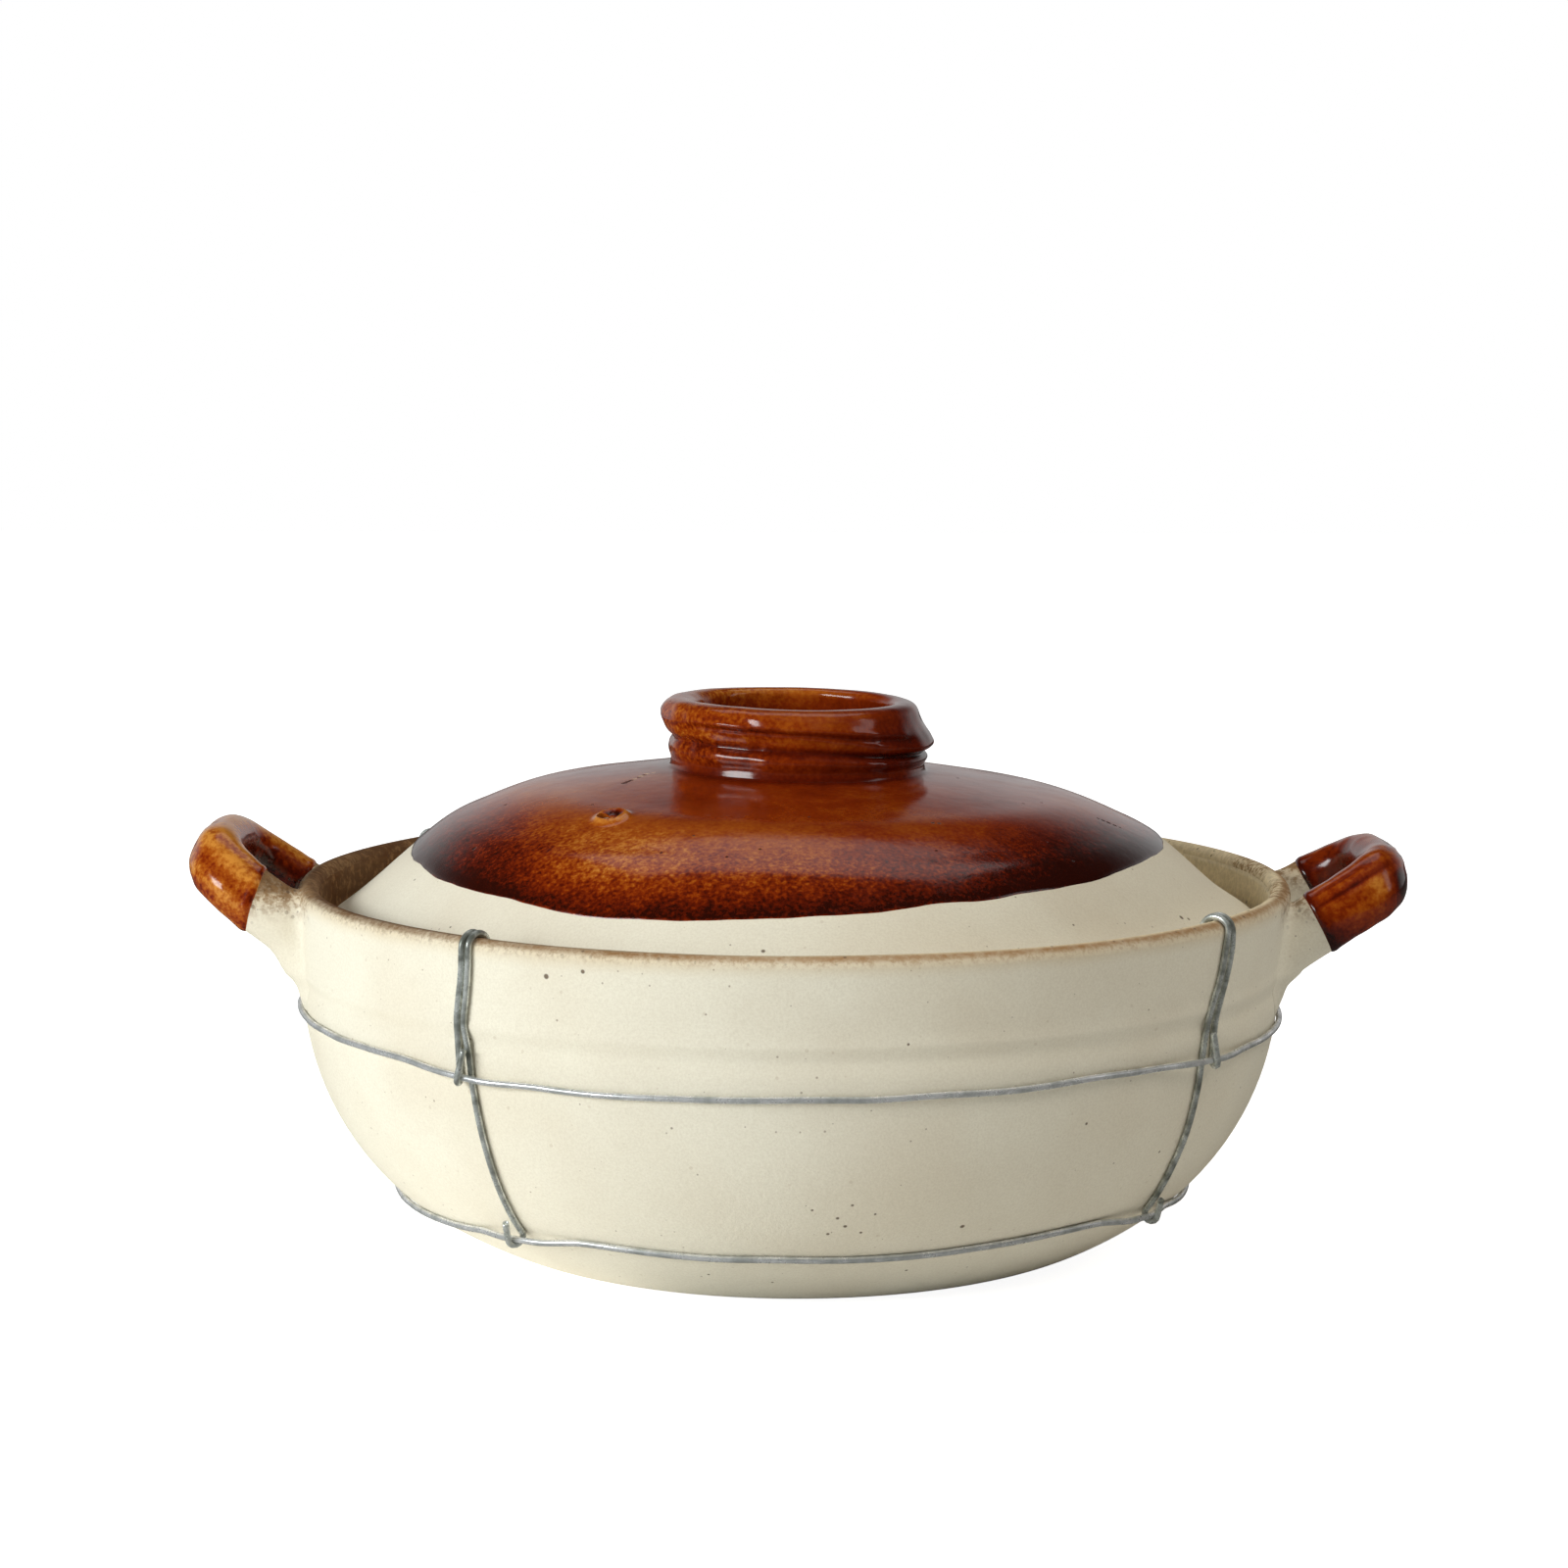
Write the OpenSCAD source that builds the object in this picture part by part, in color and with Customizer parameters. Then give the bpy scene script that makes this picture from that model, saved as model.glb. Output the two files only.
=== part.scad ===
// Shallow clay pot with a seated lid, two loop ears and a wire cage.
// The origin is the middle of the flat base, +X runs through the right ear, -Y is the front and +Z is up.
// Lengths are in millimetres and turns are in degrees.

/* [Bowl] */
// Outer radius of the rim
rim_r = 120; // [105:1:135]
// Height of the rim above the table
pot_h = 88; // [80:1:110]
// How far the rim stands out past the shoulder line
rim_flare_w = 2.4; // [0:0.2:5]
// Depth of the shoulder line below the rim
shoulder_drop = 21; // [18:1:26]
// Radius of the flat base
base_r = 60; // [45:1:72]
// Thickness of the wall
wall = 5; // [4:0.2:6]
// Thickness of the floor
floor_t = 6; // [4:0.5:9]
// Fullness of the belly near the shoulder, as a power
belly_height_power = 2.14; // [1.8:0.02:2.6]
// Fullness of the belly near the base, as a power
belly_width_power = 1.78; // [1.5:0.02:2.2]

/* [Lid seat] */
// Depth of the seat ledge below the rim
seat_drop = 11.5; // [10:0.5:15]
// Width of the seat ledge
seat_w = 8; // [7:0.5:10]
// Thickness of the seat ledge at its inner edge
seat_t = 3.5; // [2:0.5:5]

/* [Lid] */
// Gap between the edge of the lid and the wall around it
lid_gap = 1.8; // [1.6:0.1:2.4]
// Height of the crown of the lid above its outer corner
lid_rise = 36.4; // [26:0.2:44]
// Thickness of the lid at its crown
lid_t = 5; // [4:0.2:7]
// Height of the outer corner of the lid above the face that it rests on
lid_edge_h = 1.8; // [1:0.1:3]
// Width of the face that the lid rests on, with its rounded corner
lid_foot_w = 6.5; // [5:0.1:6.6]
// Diameter of the steam vent
vent_d = 3; // [2:0.5:5]
// Distance of the steam vent from the middle of the lid
vent_r = 68; // [50:1:85]
// Turn of the steam vent from the front towards the left ear
vent_turn = 40; // [0:5:80]

/* [Knob ring] */
// Radius of the ridge around the knob
knob_r = 32.4; // [28:0.2:38]
// Height of the top of the knob above the crown of the lid
knob_h = 16.1; // [11:0.1:22]
// Radius of the cup inside the knob
cup_r = 24; // [17:0.5:24]

/* [Ears] */
// Reach of the right ear, from its root to the middle of its strap
right_ear_reach = 26; // [22:0.2:30]
// Reach of the left ear
left_ear_reach = 23.6; // [22:0.2:30]
// Depth of the middle of the right root below the rim
right_ear_drop = 14.1; // [12:0.1:18]
// Depth of the middle of the left root below the rim
left_ear_drop = 11.7; // [11:0.1:18]
// Upward slope of the right ear
right_ear_rise = 35; // [10:0.5:45]
// Upward slope of the left ear
left_ear_rise = 32.5; // [10:0.5:45]
// Extra lift of the right ear at its far end
right_ear_lift_h = -2.6; // [-4:0.1:4]
// Extra lift of the left ear at its far end
left_ear_lift_h = 2.1; // [-4:0.1:4]
// Lean of the right strap at its far end, back towards the pot
right_ear_lean = 15; // [0:1:40]
// Lean of the left strap at its far end
left_ear_lean = 25; // [0:1:40]
// Distance of the right glaze line from the root
right_glaze_start = 8; // [5:0.1:14]
// Distance of the left glaze line from the root
left_glaze_start = 10.9; // [5:0.1:14]
// Half of the distance between the two arms of an ear, middle to middle
ear_spread = 21.5; // [18:0.5:26]
// Squareness of the loop of an ear, as a power
ear_loop_power = 3.8; // [2:0.1:4.5]
// Width of the strap, across its slope
ear_strap_h = 14.8; // [10:0.2:17]
// Thickness of the strap
ear_strap_t = 11.6; // [8:0.2:14]

/* [Glaze] */
// Thickness of a glaze coat
glaze_t = 0.3; // [0.2:0.05:0.5]
// Radius of the glazed part of the lid
lid_glaze_r = 93.5; // [80:0.5:98]
// How far the glazed part is off the middle of the lid
lid_glaze_shift = 4; // [0:0.5:6]
// Turn of that shift from the front towards the left ear
lid_glaze_turn = 30; // [0:5:60]

/* [Wire cage] */
// Diameter of the wire
wire_d = 1.5; // [1:0.1:1.5]
// Depth of the upper hoop below the rim
upper_hoop_drop = 31.4; // [26:0.2:36]
// Height of the lower hoop above the table
lower_hoop_h = 16.7; // [14:0.1:22]
// Turn of the cage from the square position, seen from above
cage_turn = 8.4; // [0:0.2:15]
// How far a stay reaches down inside the rim
stay_leg = 7; // [5:0.5:8]
// Length of the tail of a hook
tail_l = 7.5; // [4:0.5:10]
// Length of the twist that closes a hoop
twist_l = 12; // [8:0.5:16]

/* [Hidden] */

clay = [0.87, 0.84, 0.74];
amber = [0.50, 0.20, 0.05];
olive = [0.46, 0.38, 0.26];
zinc = [0.60, 0.61, 0.61];

curve_steps = 4;
belly_steps = 16;
lip_steps = 4;
$fn = 96;

// Places worked out from the sizes of the bowl
shoulder_z = pot_h - shoulder_drop;
shoulder_r = rim_r - rim_flare_w;
lip_r = wall / 2;
lip_z = pot_h - lip_r;
seat_z = pot_h - seat_drop;
seat_foot_z = seat_z - seat_t - seat_w;
inner_base_r = base_r - wall;

// Places worked out from the sizes of the lid
running_gap = 0.3;
lid_face_z = seat_z + glaze_t + running_gap;
lid_corner_z = lid_face_z + lid_edge_h;
lid_r = wall_r(seat_z) - wall - lid_gap;
lid_corner_round = 0.8;
crown_z = lid_corner_z + lid_rise;
under_r = lid_r - lid_foot_w;
under_rise = crown_z - lid_t - lid_face_z;

// Outline of the lid from its crown to its edge: shares of its radius and of its rise
lid_shares = [[0, 1], [0.2, 0.98], [0.35, 0.93], [0.5, 0.86], [0.6, 0.8], [0.7, 0.68], [0.785, 0.54],
    [0.92, 0.185], [1, 0]];
// Outline of the knob from the lip of its cup to its foot: shares of its wall, outwards, and of its height
knob_shares = [[0, 0.92], [0.06, 0.975], [0.18, 1], [0.45, 1], [0.72, 0.95], [0.87, 0.84], [0.95, 0.71],
    [0.91, 0.585], [1, 0.46], [0.9, 0.37], [0.74, 0.31], [0.82, 0.2], [0.76, 0.04]];
knob_foot_share = 0.8;
knob_foot_r = cup_r + knob_foot_share * (knob_r - cup_r);

// Shape of an ear
ear_section_power = 2.2;
ear_root_inset = 1.6;
ear_root_run = 8;
ear_flare_l = 11;
ear_flare_low_h = 2.5;
ear_flare_high_h = 3;
ear_flare_side_w = 3;
ear_sides = 20;
ear_root_rings = 7;
ear_loop_rings = 11;

// Shape of the wires
wire_r = wire_d / 2;
wire_sides = 8;
wire_gap = 0.15;
hook_clearance = 0.1;
inner_gap = glaze_t + hook_clearance;
strand_gap = 0.2;
hoop_gap = 0.1;
strand_pitch = wire_d + strand_gap;
strand_splay = 1.2;
tail_splay = 1.7;
upper_hoop_z = pot_h - upper_hoop_drop;
hook_steps = 8;
hairpin_steps = 6;
wall_points = 7;
stay_count = 4;
quarter = 360 / stay_count;
stay_hold = 1.6;
hoop_touch = 10.5;
hoop_step = 5;
twist_pitch = 7;
twist_steps = 14;
twist_bend = 1.6;
slope_step = 0.05;
turn_step = 0.5;

// Curves and vectors

function unit(v) = v / norm(v);

function signed_power(x, p) = sign(x) * pow(abs(x), p);

// A point of the smooth curve through b and c
function curve_point(a, b, c, d, t) =
    (2 * b + (c - a) * t + (2 * a - 5 * b + 4 * c - d) * t * t + (3 * b - a - 3 * c + d) * t * t * t) / 2;

// The smooth curve through a list of points, with the slope before the first point given by the point "before"
function smooth(points, before) = [
    for (i = [0 : len(points) - 2], k = [0 : curve_steps - 1])
        curve_point(i == 0 ? before : points[i - 1], points[i], points[i + 1],
            i + 2 < len(points) ? points[i + 2] : 2 * points[i + 1] - points[i], k / curve_steps),
    points[len(points) - 1]];

function reversed(list) = [for (i = [len(list) - 1 : -1 : 0]) list[i]];

function arc(centre, r, from, to, steps) = [
    for (i = [0 : steps])
        let (a = from + (to - from) * i / steps) centre + r * [cos(a), sin(a)]];

// Moves each point of an open outline sideways by t, with mitred corners
function pushed(points, t) = [
    for (i = [0 : len(points) - 1])
        let (
            before = unit(points[max(i, 1)] - points[max(i, 1) - 1]),
            after = unit(points[min(i, len(points) - 2) + 1] - points[min(i, len(points) - 2)]),
            middle = unit([-before.y - after.y, before.x + after.x])
        ) points[i] + middle * t / (middle * [-after.y, after.x])];

// The wall

// Outer radius of the wall at height z
function wall_r(z) = z >= shoulder_z
    ? shoulder_r + rim_flare_w * (z - shoulder_z) / shoulder_drop
    : let (c = pow(1 - max(z, 0) / shoulder_z, belly_height_power / 2))
        base_r + (shoulder_r - base_r) * pow(sqrt(1 - c * c), 2 / belly_width_power);

// Rounded belly, from the radius r0 at height z0 up to the radius r1 at height z1
function belly(r0, r1, z0, z1) = [
    for (i = [0 : belly_steps])
        let (a = 90 * i / belly_steps)
            [r0 + (r1 - r0) * pow(sin(a), 2 / belly_width_power),
             z0 + (z1 - z0) * (1 - pow(cos(a), 2 / belly_height_power))]];

function outer_line() = belly(base_r, shoulder_r, 0, shoulder_z);

// Outer half of the rounded lip, and its inner half
function lip_out_line() = arc([rim_r - lip_r, lip_z], lip_r, 0, 90, lip_steps);
function lip_in_line() = arc([rim_r - lip_r, lip_z], lip_r, 90, 180, lip_steps);

// Inner radius of the wall at a height between the seat and the lip
function inner_r(z) = wall_r(seat_z) - wall + (rim_r - wall_r(seat_z)) * (z - seat_z) / (lip_z - seat_z);

// Inside of the bowl from the lip down to the middle of the floor, with a coat of thickness t on it
function inner_line(t) = concat(
    [[rim_r - wall - t, lip_z],
     [wall_r(seat_z) - wall - t, seat_z + t],
     [wall_r(seat_z) - wall - seat_w - t, seat_z + t],
     [wall_r(seat_z) - wall - seat_w - t, seat_z - seat_t]],
    reversed(belly(inner_base_r, wall_r(seat_foot_z) - wall - t, floor_t + t, seat_foot_z)),
    [[0, floor_t + t]]);

module bowl_body() {
    rotate_extrude()
        polygon(concat([[0, 0]], outer_line(), lip_out_line(), lip_in_line(), inner_line(0)));
}

// The space that the bowl fills, with its hollow
module bowl_bulk() {
    rotate_extrude()
        polygon(concat([[0, 0]], outer_line(), lip_out_line(), [[0, pot_h]]));
}

module pot_bowl() {
    color(clay) bowl_body();
}

module bowl_glaze() {
    color(olive)
        rotate_extrude()
            polygon(concat(inner_line(0), reversed(inner_line(glaze_t))));
}

// The ears

// Middle of the strap at the turn s, which runs from -90 at the front root to 90 at the back root
function strap_middle(s, drop, reach, rise, lift) =
    let (u = reach * pow(cos(s), 2 / ear_loop_power))
        [shoulder_r - ear_root_inset + u,
         ear_spread * signed_power(sin(s), 2 / ear_loop_power),
         pot_h - drop + u * tan(rise) + lift * pow(u / reach, 2)];

function strap_along(s, drop, reach, rise, lift) =
    unit(strap_middle(min(s + turn_step, 90), drop, reach, rise, lift)
        - strap_middle(max(s - turn_step, -90), drop, reach, rise, lift));

// One ring of the strap at the turn s, with a coat of thickness t, moved inwards by run
function strap_ring(s, drop, reach, rise, lift, lean, t, run) =
    let (
        middle = strap_middle(s, drop, reach, rise, lift) - run * [1, 0, tan(rise)],
        u = middle.x - shoulder_r + ear_root_inset,
        along = strap_along(s, drop, reach, rise, lift),
        tip = rise + (lean - rise) * pow(max(u, 0) / reach, 4),
        plumb = [-sin(tip), 0, cos(tip)],
        up = unit(plumb - along * (along * plumb)),
        side = cross(up, along),
        flare = pow(max(0, 1 - max(u, 0) / ear_flare_l), 2)
    ) [
        for (k = [0 : ear_sides - 1])
            let (
                a = 360 * k / ear_sides,
                half_t = ear_strap_t / 2 + ear_flare_side_w * flare + t,
                half_h = ear_strap_h / 2 + (sin(a) < 0 ? ear_flare_low_h : ear_flare_high_h) * flare + t
            ) middle + side * half_t * signed_power(cos(a), 2 / ear_section_power)
                + up * half_h * signed_power(sin(a), 2 / ear_section_power)];

// Turn at which the strap is as far out as the glaze line
function glaze_turn(reach, start) = acos(pow(start / reach, ear_loop_power / 2));

// Turns of the rings, from the front glaze line to the back one
function loop_turns(edge) = [for (k = [-ear_loop_rings : ear_loop_rings]) edge * k / ear_loop_rings];

// Turns of the rings between the back glaze line and the back root
function root_turns(edge) = [
    for (k = [1 : ear_root_rings]) edge + (90 - edge) * sin(90 * k / ear_root_rings)];

// Triangles of the side of a tube: rings of m points, the first of them at the index base
function side_faces(rings, m, base) = [
    for (i = [0 : rings - 2], k = [0 : m - 1], half = [0, 1])
        let (a = base + i * m + k, b = base + i * m + (k + 1) % m)
            half == 0 ? [a, a + m, b + m] : [a, b + m, b]];

function turned(faces) = [for (f = faces) reversed(f)];

// Closed tube through rings of points
module ring_tube(rings) {
    m = len(rings[0]);
    polyhedron(
        points = [for (ring = rings, p = ring) p],
        faces = concat(
            [[for (k = [0 : m - 1]) k]],
            side_faces(len(rings), m, 0),
            [[for (k = [m - 1 : -1 : 0]) (len(rings) - 1) * m + k]]));
}

// Open sleeve between inner and outer rings of points
module ring_sleeve(inner, outer) {
    m = len(inner[0]);
    n = len(inner);
    last = (n - 1) * m;
    polyhedron(
        points = [for (ring = concat(outer, inner), p = ring) p],
        faces = concat(
            side_faces(n, m, 0),
            turned(side_faces(n, m, n * m)),
            [for (k = [0 : m - 1], half = [0, 1])
                let (j = (k + 1) % m) half == 0 ? [k, j, n * m + j] : [k, n * m + j, n * m + k]],
            [for (k = [0 : m - 1], half = [0, 1])
                let (j = (k + 1) % m)
                    half == 0
                        ? [last + j, last + k, n * m + last + k]
                        : [last + j, n * m + last + k, n * m + last + j]]));
}

module ear(drop, reach, rise, lift, lean, start) {
    edge = glaze_turn(reach, start);
    back = root_turns(edge);
    turns = concat([for (s = reversed(back)) -s], loop_turns(edge), back);
    front_end = strap_ring(-90, drop, reach, rise, lift, lean, 0, ear_root_run);
    back_end = strap_ring(90, drop, reach, rise, lift, lean, 0, ear_root_run);
    difference() {
        ring_tube(concat(
            [front_end],
            [for (s = turns) strap_ring(s, drop, reach, rise, lift, lean, 0, 0)],
            [back_end]));
        bowl_bulk();
    }
}

module ear_glaze(drop, reach, rise, lift, lean, start) {
    turns = loop_turns(glaze_turn(reach, start));
    ring_sleeve(
        [for (s = turns) strap_ring(s, drop, reach, rise, lift, lean, 0, 0)],
        [for (s = turns) strap_ring(s, drop, reach, rise, lift, lean, glaze_t, 0)]);
}

module left_ear() {
    color(clay)
        mirror([1, 0, 0])
            ear(left_ear_drop, left_ear_reach, left_ear_rise, left_ear_lift_h, left_ear_lean,
                left_glaze_start);
}

module right_ear() {
    color(clay)
        ear(right_ear_drop, right_ear_reach, right_ear_rise, right_ear_lift_h, right_ear_lean,
            right_glaze_start);
}

module left_ear_glaze() {
    color(amber)
        mirror([1, 0, 0])
            ear_glaze(left_ear_drop, left_ear_reach, left_ear_rise, left_ear_lift_h, left_ear_lean,
                left_glaze_start);
}

module right_ear_glaze() {
    color(amber)
        ear_glaze(right_ear_drop, right_ear_reach, right_ear_rise, right_ear_lift_h, right_ear_lean,
            right_glaze_start);
}

// The lid

function lid_line(r, rise, foot) =
    let (points = [for (s = lid_shares) [s.x * r, foot + s.y * rise]])
        smooth(points, [-points[1].x, points[1].y]);

function lid_top() = lid_line(lid_r, lid_rise, lid_corner_z);

function lid_top_z(r) = lookup(r, lid_top());

// Part of the top of the lid between two radii
function lid_top_part(from, to) = concat(
    [[from, lid_top_z(from)]],
    [for (p = lid_top()) if (p.x > from && p.x < to) p],
    [[to, lid_top_z(to)]]);

// Outside of the knob from the lip of its cup to its foot
function knob_line() =
    let (points = [for (s = knob_shares) [cup_r + s.x * (knob_r - cup_r), crown_z + s.y * knob_h]])
        smooth(points, points[0]);

module vent_hole() {
    rotate([0, 0, -90 - vent_turn])
        translate([vent_r, 0, lid_face_z])
            cylinder(d = vent_d, h = lid_rise + lid_t);
}

module lid_shell() {
    color(clay)
        difference() {
            rotate_extrude()
                polygon(concat(
                    lid_top(),
                    [[lid_r - lid_corner_round, lid_face_z]],
                    reversed(lid_line(under_r, under_rise, lid_face_z))));
            vent_hole();
        }
}

module knob_ring() {
    color(clay)
        rotate_extrude()
            polygon(concat(knob_line(), reversed(lid_top_part(cup_r, knob_foot_r))));
}

// The lid's one coat of glaze, over the dome, the knob and the cup
module lid_glaze() {
    line = concat(lid_top_part(0, cup_r), knob_line(), lid_top_part(knob_foot_r, lid_r));
    color(amber)
        difference() {
            intersection() {
                rotate_extrude()
                    polygon(concat(line, reversed(pushed(line, glaze_t))));
                rotate([0, 0, -90 - lid_glaze_turn])
                    translate([lid_glaze_shift, 0, lid_face_z])
                        cylinder(r = lid_glaze_r, h = lid_rise + knob_h + lid_t);
            }
            vent_hole();
        }
}

// The wires

function path_along(path, i) =
    unit(path[min(i + 1, len(path) - 1)] - path[max(i - 1, 0)]);

function carried(across, along) = unit(across - along * (across * along));

// Directions across a path, each carried on from the one before it
function path_across(path, first) = [
    for (i = 0, across = carried(first, path_along(path, 0)); i < len(path);
        i = i + 1, across = carried(across, path_along(path, min(i, len(path) - 1)))) across];

// Round wire along a path
module wire(path, first) {
    across = path_across(path, first);
    ring_tube([
        for (i = [0 : len(path) - 1])
            let (side = cross(path_along(path, i), across[i])) [
                for (k = [0 : wire_sides - 1])
                    let (a = 360 * k / wire_sides)
                        path[i] + wire_r * (across[i] * cos(a) + side * sin(a))]]);
}

// Slope of the wall at height z, and the directions up along it and out from it
function wall_slope(z) = (wall_r(z + slope_step) - wall_r(z - slope_step)) / (2 * slope_step);
function wall_up(z) = unit([wall_slope(z), 1]);
function wall_out(z) = unit([1, -wall_slope(z)]);

// Point at the distance d from the wall at height z
function off_wall(z, d) = [wall_r(z), z] + d * wall_out(z);

// Middle of the hoop's wire where it crosses over a stay at height z
function crossing(z) = off_wall(z, wire_gap + wire_d + hoop_gap + wire_r);

// Points in the plane of a stay: p is [radius, height] and s is the place across
function placed(points, s) = [for (p = points) [p.x, s, p.y]];

// Hook of a stay under the hoop at height z, from behind the hoop to its front, then the tail
function hook(z, s, shift) =
    let (
        reach = wire_d + hoop_gap,
        up = wall_up(z),
        out = wall_out(z),
        bend = [
            for (i = [0 : hook_steps])
                let (a = 180 * i / hook_steps, p = crossing(z) - reach * (out * cos(a) + up * sin(a)))
                    [p.x, s + shift * i / hook_steps, p.y]],
        tip = crossing(z) + reach * out + tail_l * up
    ) concat(bend, [[tip.x, s + shift, tip.y]]);

// Strand on the outside of the wall, from height z0 up to height z1, both ends left out
function wall_strand(z0, z1, s0, s1) = [
    for (i = [1 : wall_points])
        let (share = i / (wall_points + 1), p = off_wall(z0 + (z1 - z0) * share, wire_gap + wire_r))
            [p.x, s0 + (s1 - s0) * share, p.y]];

// Strand over the lip, from the outside in
function lip_strand(s) = [
    for (i = [0 : hook_steps])
        let (
            a = 180 * i / hook_steps,
            r = lip_r + wire_r + wire_gap + (inner_gap - wire_gap) * i / hook_steps
        ) [rim_r - lip_r + r * cos(a), s, lip_z + r * sin(a)]];

// Closed end of the stay inside the rim
function hairpin() = [
    for (i = [0 : hairpin_steps])
        let (
            a = 180 * i / hairpin_steps,
            z = pot_h - stay_leg - strand_pitch / 2 * sin(a)
        ) [inner_r(z) - inner_gap - wire_r, -strand_pitch / 2 * cos(a), z]];

function stay_path() =
    let (
        near = -strand_pitch / 2,
        far = strand_pitch / 2,
        wide = far + strand_splay
    ) concat(
        reversed(hook(upper_hoop_z, near, 0)),
        wall_strand(upper_hoop_z, lip_z, near, near),
        lip_strand(near),
        hairpin(),
        reversed(lip_strand(far)),
        reversed(wall_strand(upper_hoop_z, lip_z, wide, far)),
        placed([off_wall(upper_hoop_z, wire_gap + wire_r)], wide),
        reversed(wall_strand(lower_hoop_h, upper_hoop_z, wide, wide)),
        hook(lower_hoop_h, wide, -tail_splay));

module stay(turn) {
    color(zinc)
        rotate([0, 0, cage_turn + turn])
            wire(stay_path(), [0, 1, 0]);
}

// A stay with its short strand on the other side
module mirrored_stay(turn) {
    color(zinc)
        rotate([0, 0, cage_turn + turn])
            mirror([0, 1, 0])
                wire(stay_path(), [0, 1, 0]);
}

// Turns of the points of a hoop within one quarter, from one stay to the next
function quarter_turns() = concat(
    [stay_hold, hoop_touch],
    [for (a = [hoop_touch + hoop_step : hoop_step : quarter - hoop_touch - hoop_step / 2]) a],
    [quarter - hoop_touch, quarter - stay_hold]);

// Turns the point [out, across, height] about the pot's axis
function swung(p, a) = [p.x * cos(a) - p.y * sin(a), p.x * sin(a) + p.y * cos(a), p.z];

// Hoop at height z from one side of its twist round to the other, lifted where it crosses a stay
function hoop_line(z) =
    let (
        low = off_wall(z, wire_gap + wire_r),
        high = crossing(z),
        skip = twist_bend / low.x * 180 / PI
    ) [
        for (q = [0 : stay_count], a = quarter_turns())
            let (turn = quarter * q + a, p = min(a, quarter - a) > stay_hold ? low : high)
                if (turn > quarter / 2 + skip && turn < quarter / 2 + 360 - skip)
                    swung([p.x, 0, p.y], turn)];

// One end of the hoop's wire in the twist, from the hoop down to the tip
function twist_line(z, start) =
    let (
        top = off_wall(z, wire_gap + wire_r + wire_d),
        down = -wall_up(z),
        r = wire_r + hoop_gap
    ) [
        for (i = [0 : twist_steps])
            let (
                l = twist_bend + (twist_l - twist_bend) * i / twist_steps,
                a = start + 360 * (l - twist_bend) / twist_pitch,
                p = top + down * l + wall_out(z) * r * cos(a)
            ) swung([p.x, r * sin(a), p.y], quarter / 2)];

module hoop(z) {
    path = concat(reversed(twist_line(z, 90)), hoop_line(z), twist_line(z, 270));
    color(zinc)
        rotate([0, 0, cage_turn + quarter / 2])
            wire(path, [0, 0, 1]);
}

module upper_hoop() { hoop(upper_hoop_z); }
module lower_hoop() { hoop(lower_hoop_h); }
module front_left_stay() { stay(-1.5 * quarter); }
module front_right_stay() { mirrored_stay(-quarter / 2); }
module back_right_stay() { stay(quarter / 2); }
module back_left_stay() { mirrored_stay(1.5 * quarter); }

pot_bowl();
bowl_glaze();
left_ear();
right_ear();
left_ear_glaze();
right_ear_glaze();
lid_shell();
knob_ring();
lid_glaze();
upper_hoop();
lower_hoop();
front_left_stay();
front_right_stay();
back_right_stay();
back_left_stay();
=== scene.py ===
"""Looks of a wire-bound clay pot with a domed lid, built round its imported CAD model.

Lengths are in millimetres until a mesh is made. Azimuths are in degrees, seen from above: 0 is the front of
the pot, 90 the right ear and -90 the left ear. Colours are linear red, green and blue.
"""
import math
from functools import partialmethod

import bmesh
import bpy
import numpy as np
from mathutils import Matrix, Vector


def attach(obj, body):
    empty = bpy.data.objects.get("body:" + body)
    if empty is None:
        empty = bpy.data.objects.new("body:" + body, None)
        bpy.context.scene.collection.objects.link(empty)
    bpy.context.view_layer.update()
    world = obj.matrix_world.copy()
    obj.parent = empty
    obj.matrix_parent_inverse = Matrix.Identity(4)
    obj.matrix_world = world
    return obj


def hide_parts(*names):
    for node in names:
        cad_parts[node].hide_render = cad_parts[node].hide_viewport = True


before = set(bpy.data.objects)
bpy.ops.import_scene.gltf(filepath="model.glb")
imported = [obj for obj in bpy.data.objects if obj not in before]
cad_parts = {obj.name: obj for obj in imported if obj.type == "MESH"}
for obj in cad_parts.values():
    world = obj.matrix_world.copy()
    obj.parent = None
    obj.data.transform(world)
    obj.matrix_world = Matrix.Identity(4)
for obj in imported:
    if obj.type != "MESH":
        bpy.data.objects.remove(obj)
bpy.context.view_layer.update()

MM = 0.001

# Sizes shared with the CAD model

RIM_R = 120.0
POT_H = 88.0
RIM_FLARE = 2.4
SHOULDER_R = RIM_R - RIM_FLARE
SHOULDER_Z = POT_H - 21.0
BASE_R = 60.0
WALL = 5.0
FLOOR_T = 6.0
LIP_R = WALL / 2
LIP_Z = POT_H - LIP_R
BELLY_HEIGHT_POWER = 2.14
BELLY_WIDTH_POWER = 1.78
SEAT_Z = POT_H - 11.5
SEAT_W = 8.0
SEAT_T = 3.5
SEAT_FOOT_Z = SEAT_Z - SEAT_T - SEAT_W
SEAT_CORNER_R = 1.2

COAT_T = 0.3
RUNNING_GAP = 0.3
LID_GAP = 1.8
LID_FACE_Z = SEAT_Z + COAT_T + RUNNING_GAP
LID_EDGE_H = 1.8
LID_CORNER_Z = LID_FACE_Z + LID_EDGE_H
LID_RISE = 36.4
LID_T = 5.0
LID_FOOT_W = 6.5
CROWN_Z = LID_CORNER_Z + LID_RISE
VENT_R = 68.0
VENT_D = 3.0
VENT_AZ = -40.0
VENT_SIDES = 32
VENT_RING_H = 1.1
LID_SHARES = [(0, 1), (0.2, 0.98), (0.35, 0.93), (0.5, 0.86), (0.6, 0.8), (0.7, 0.68), (0.785, 0.54),
              (0.92, 0.185), (1, 0)]

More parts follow.
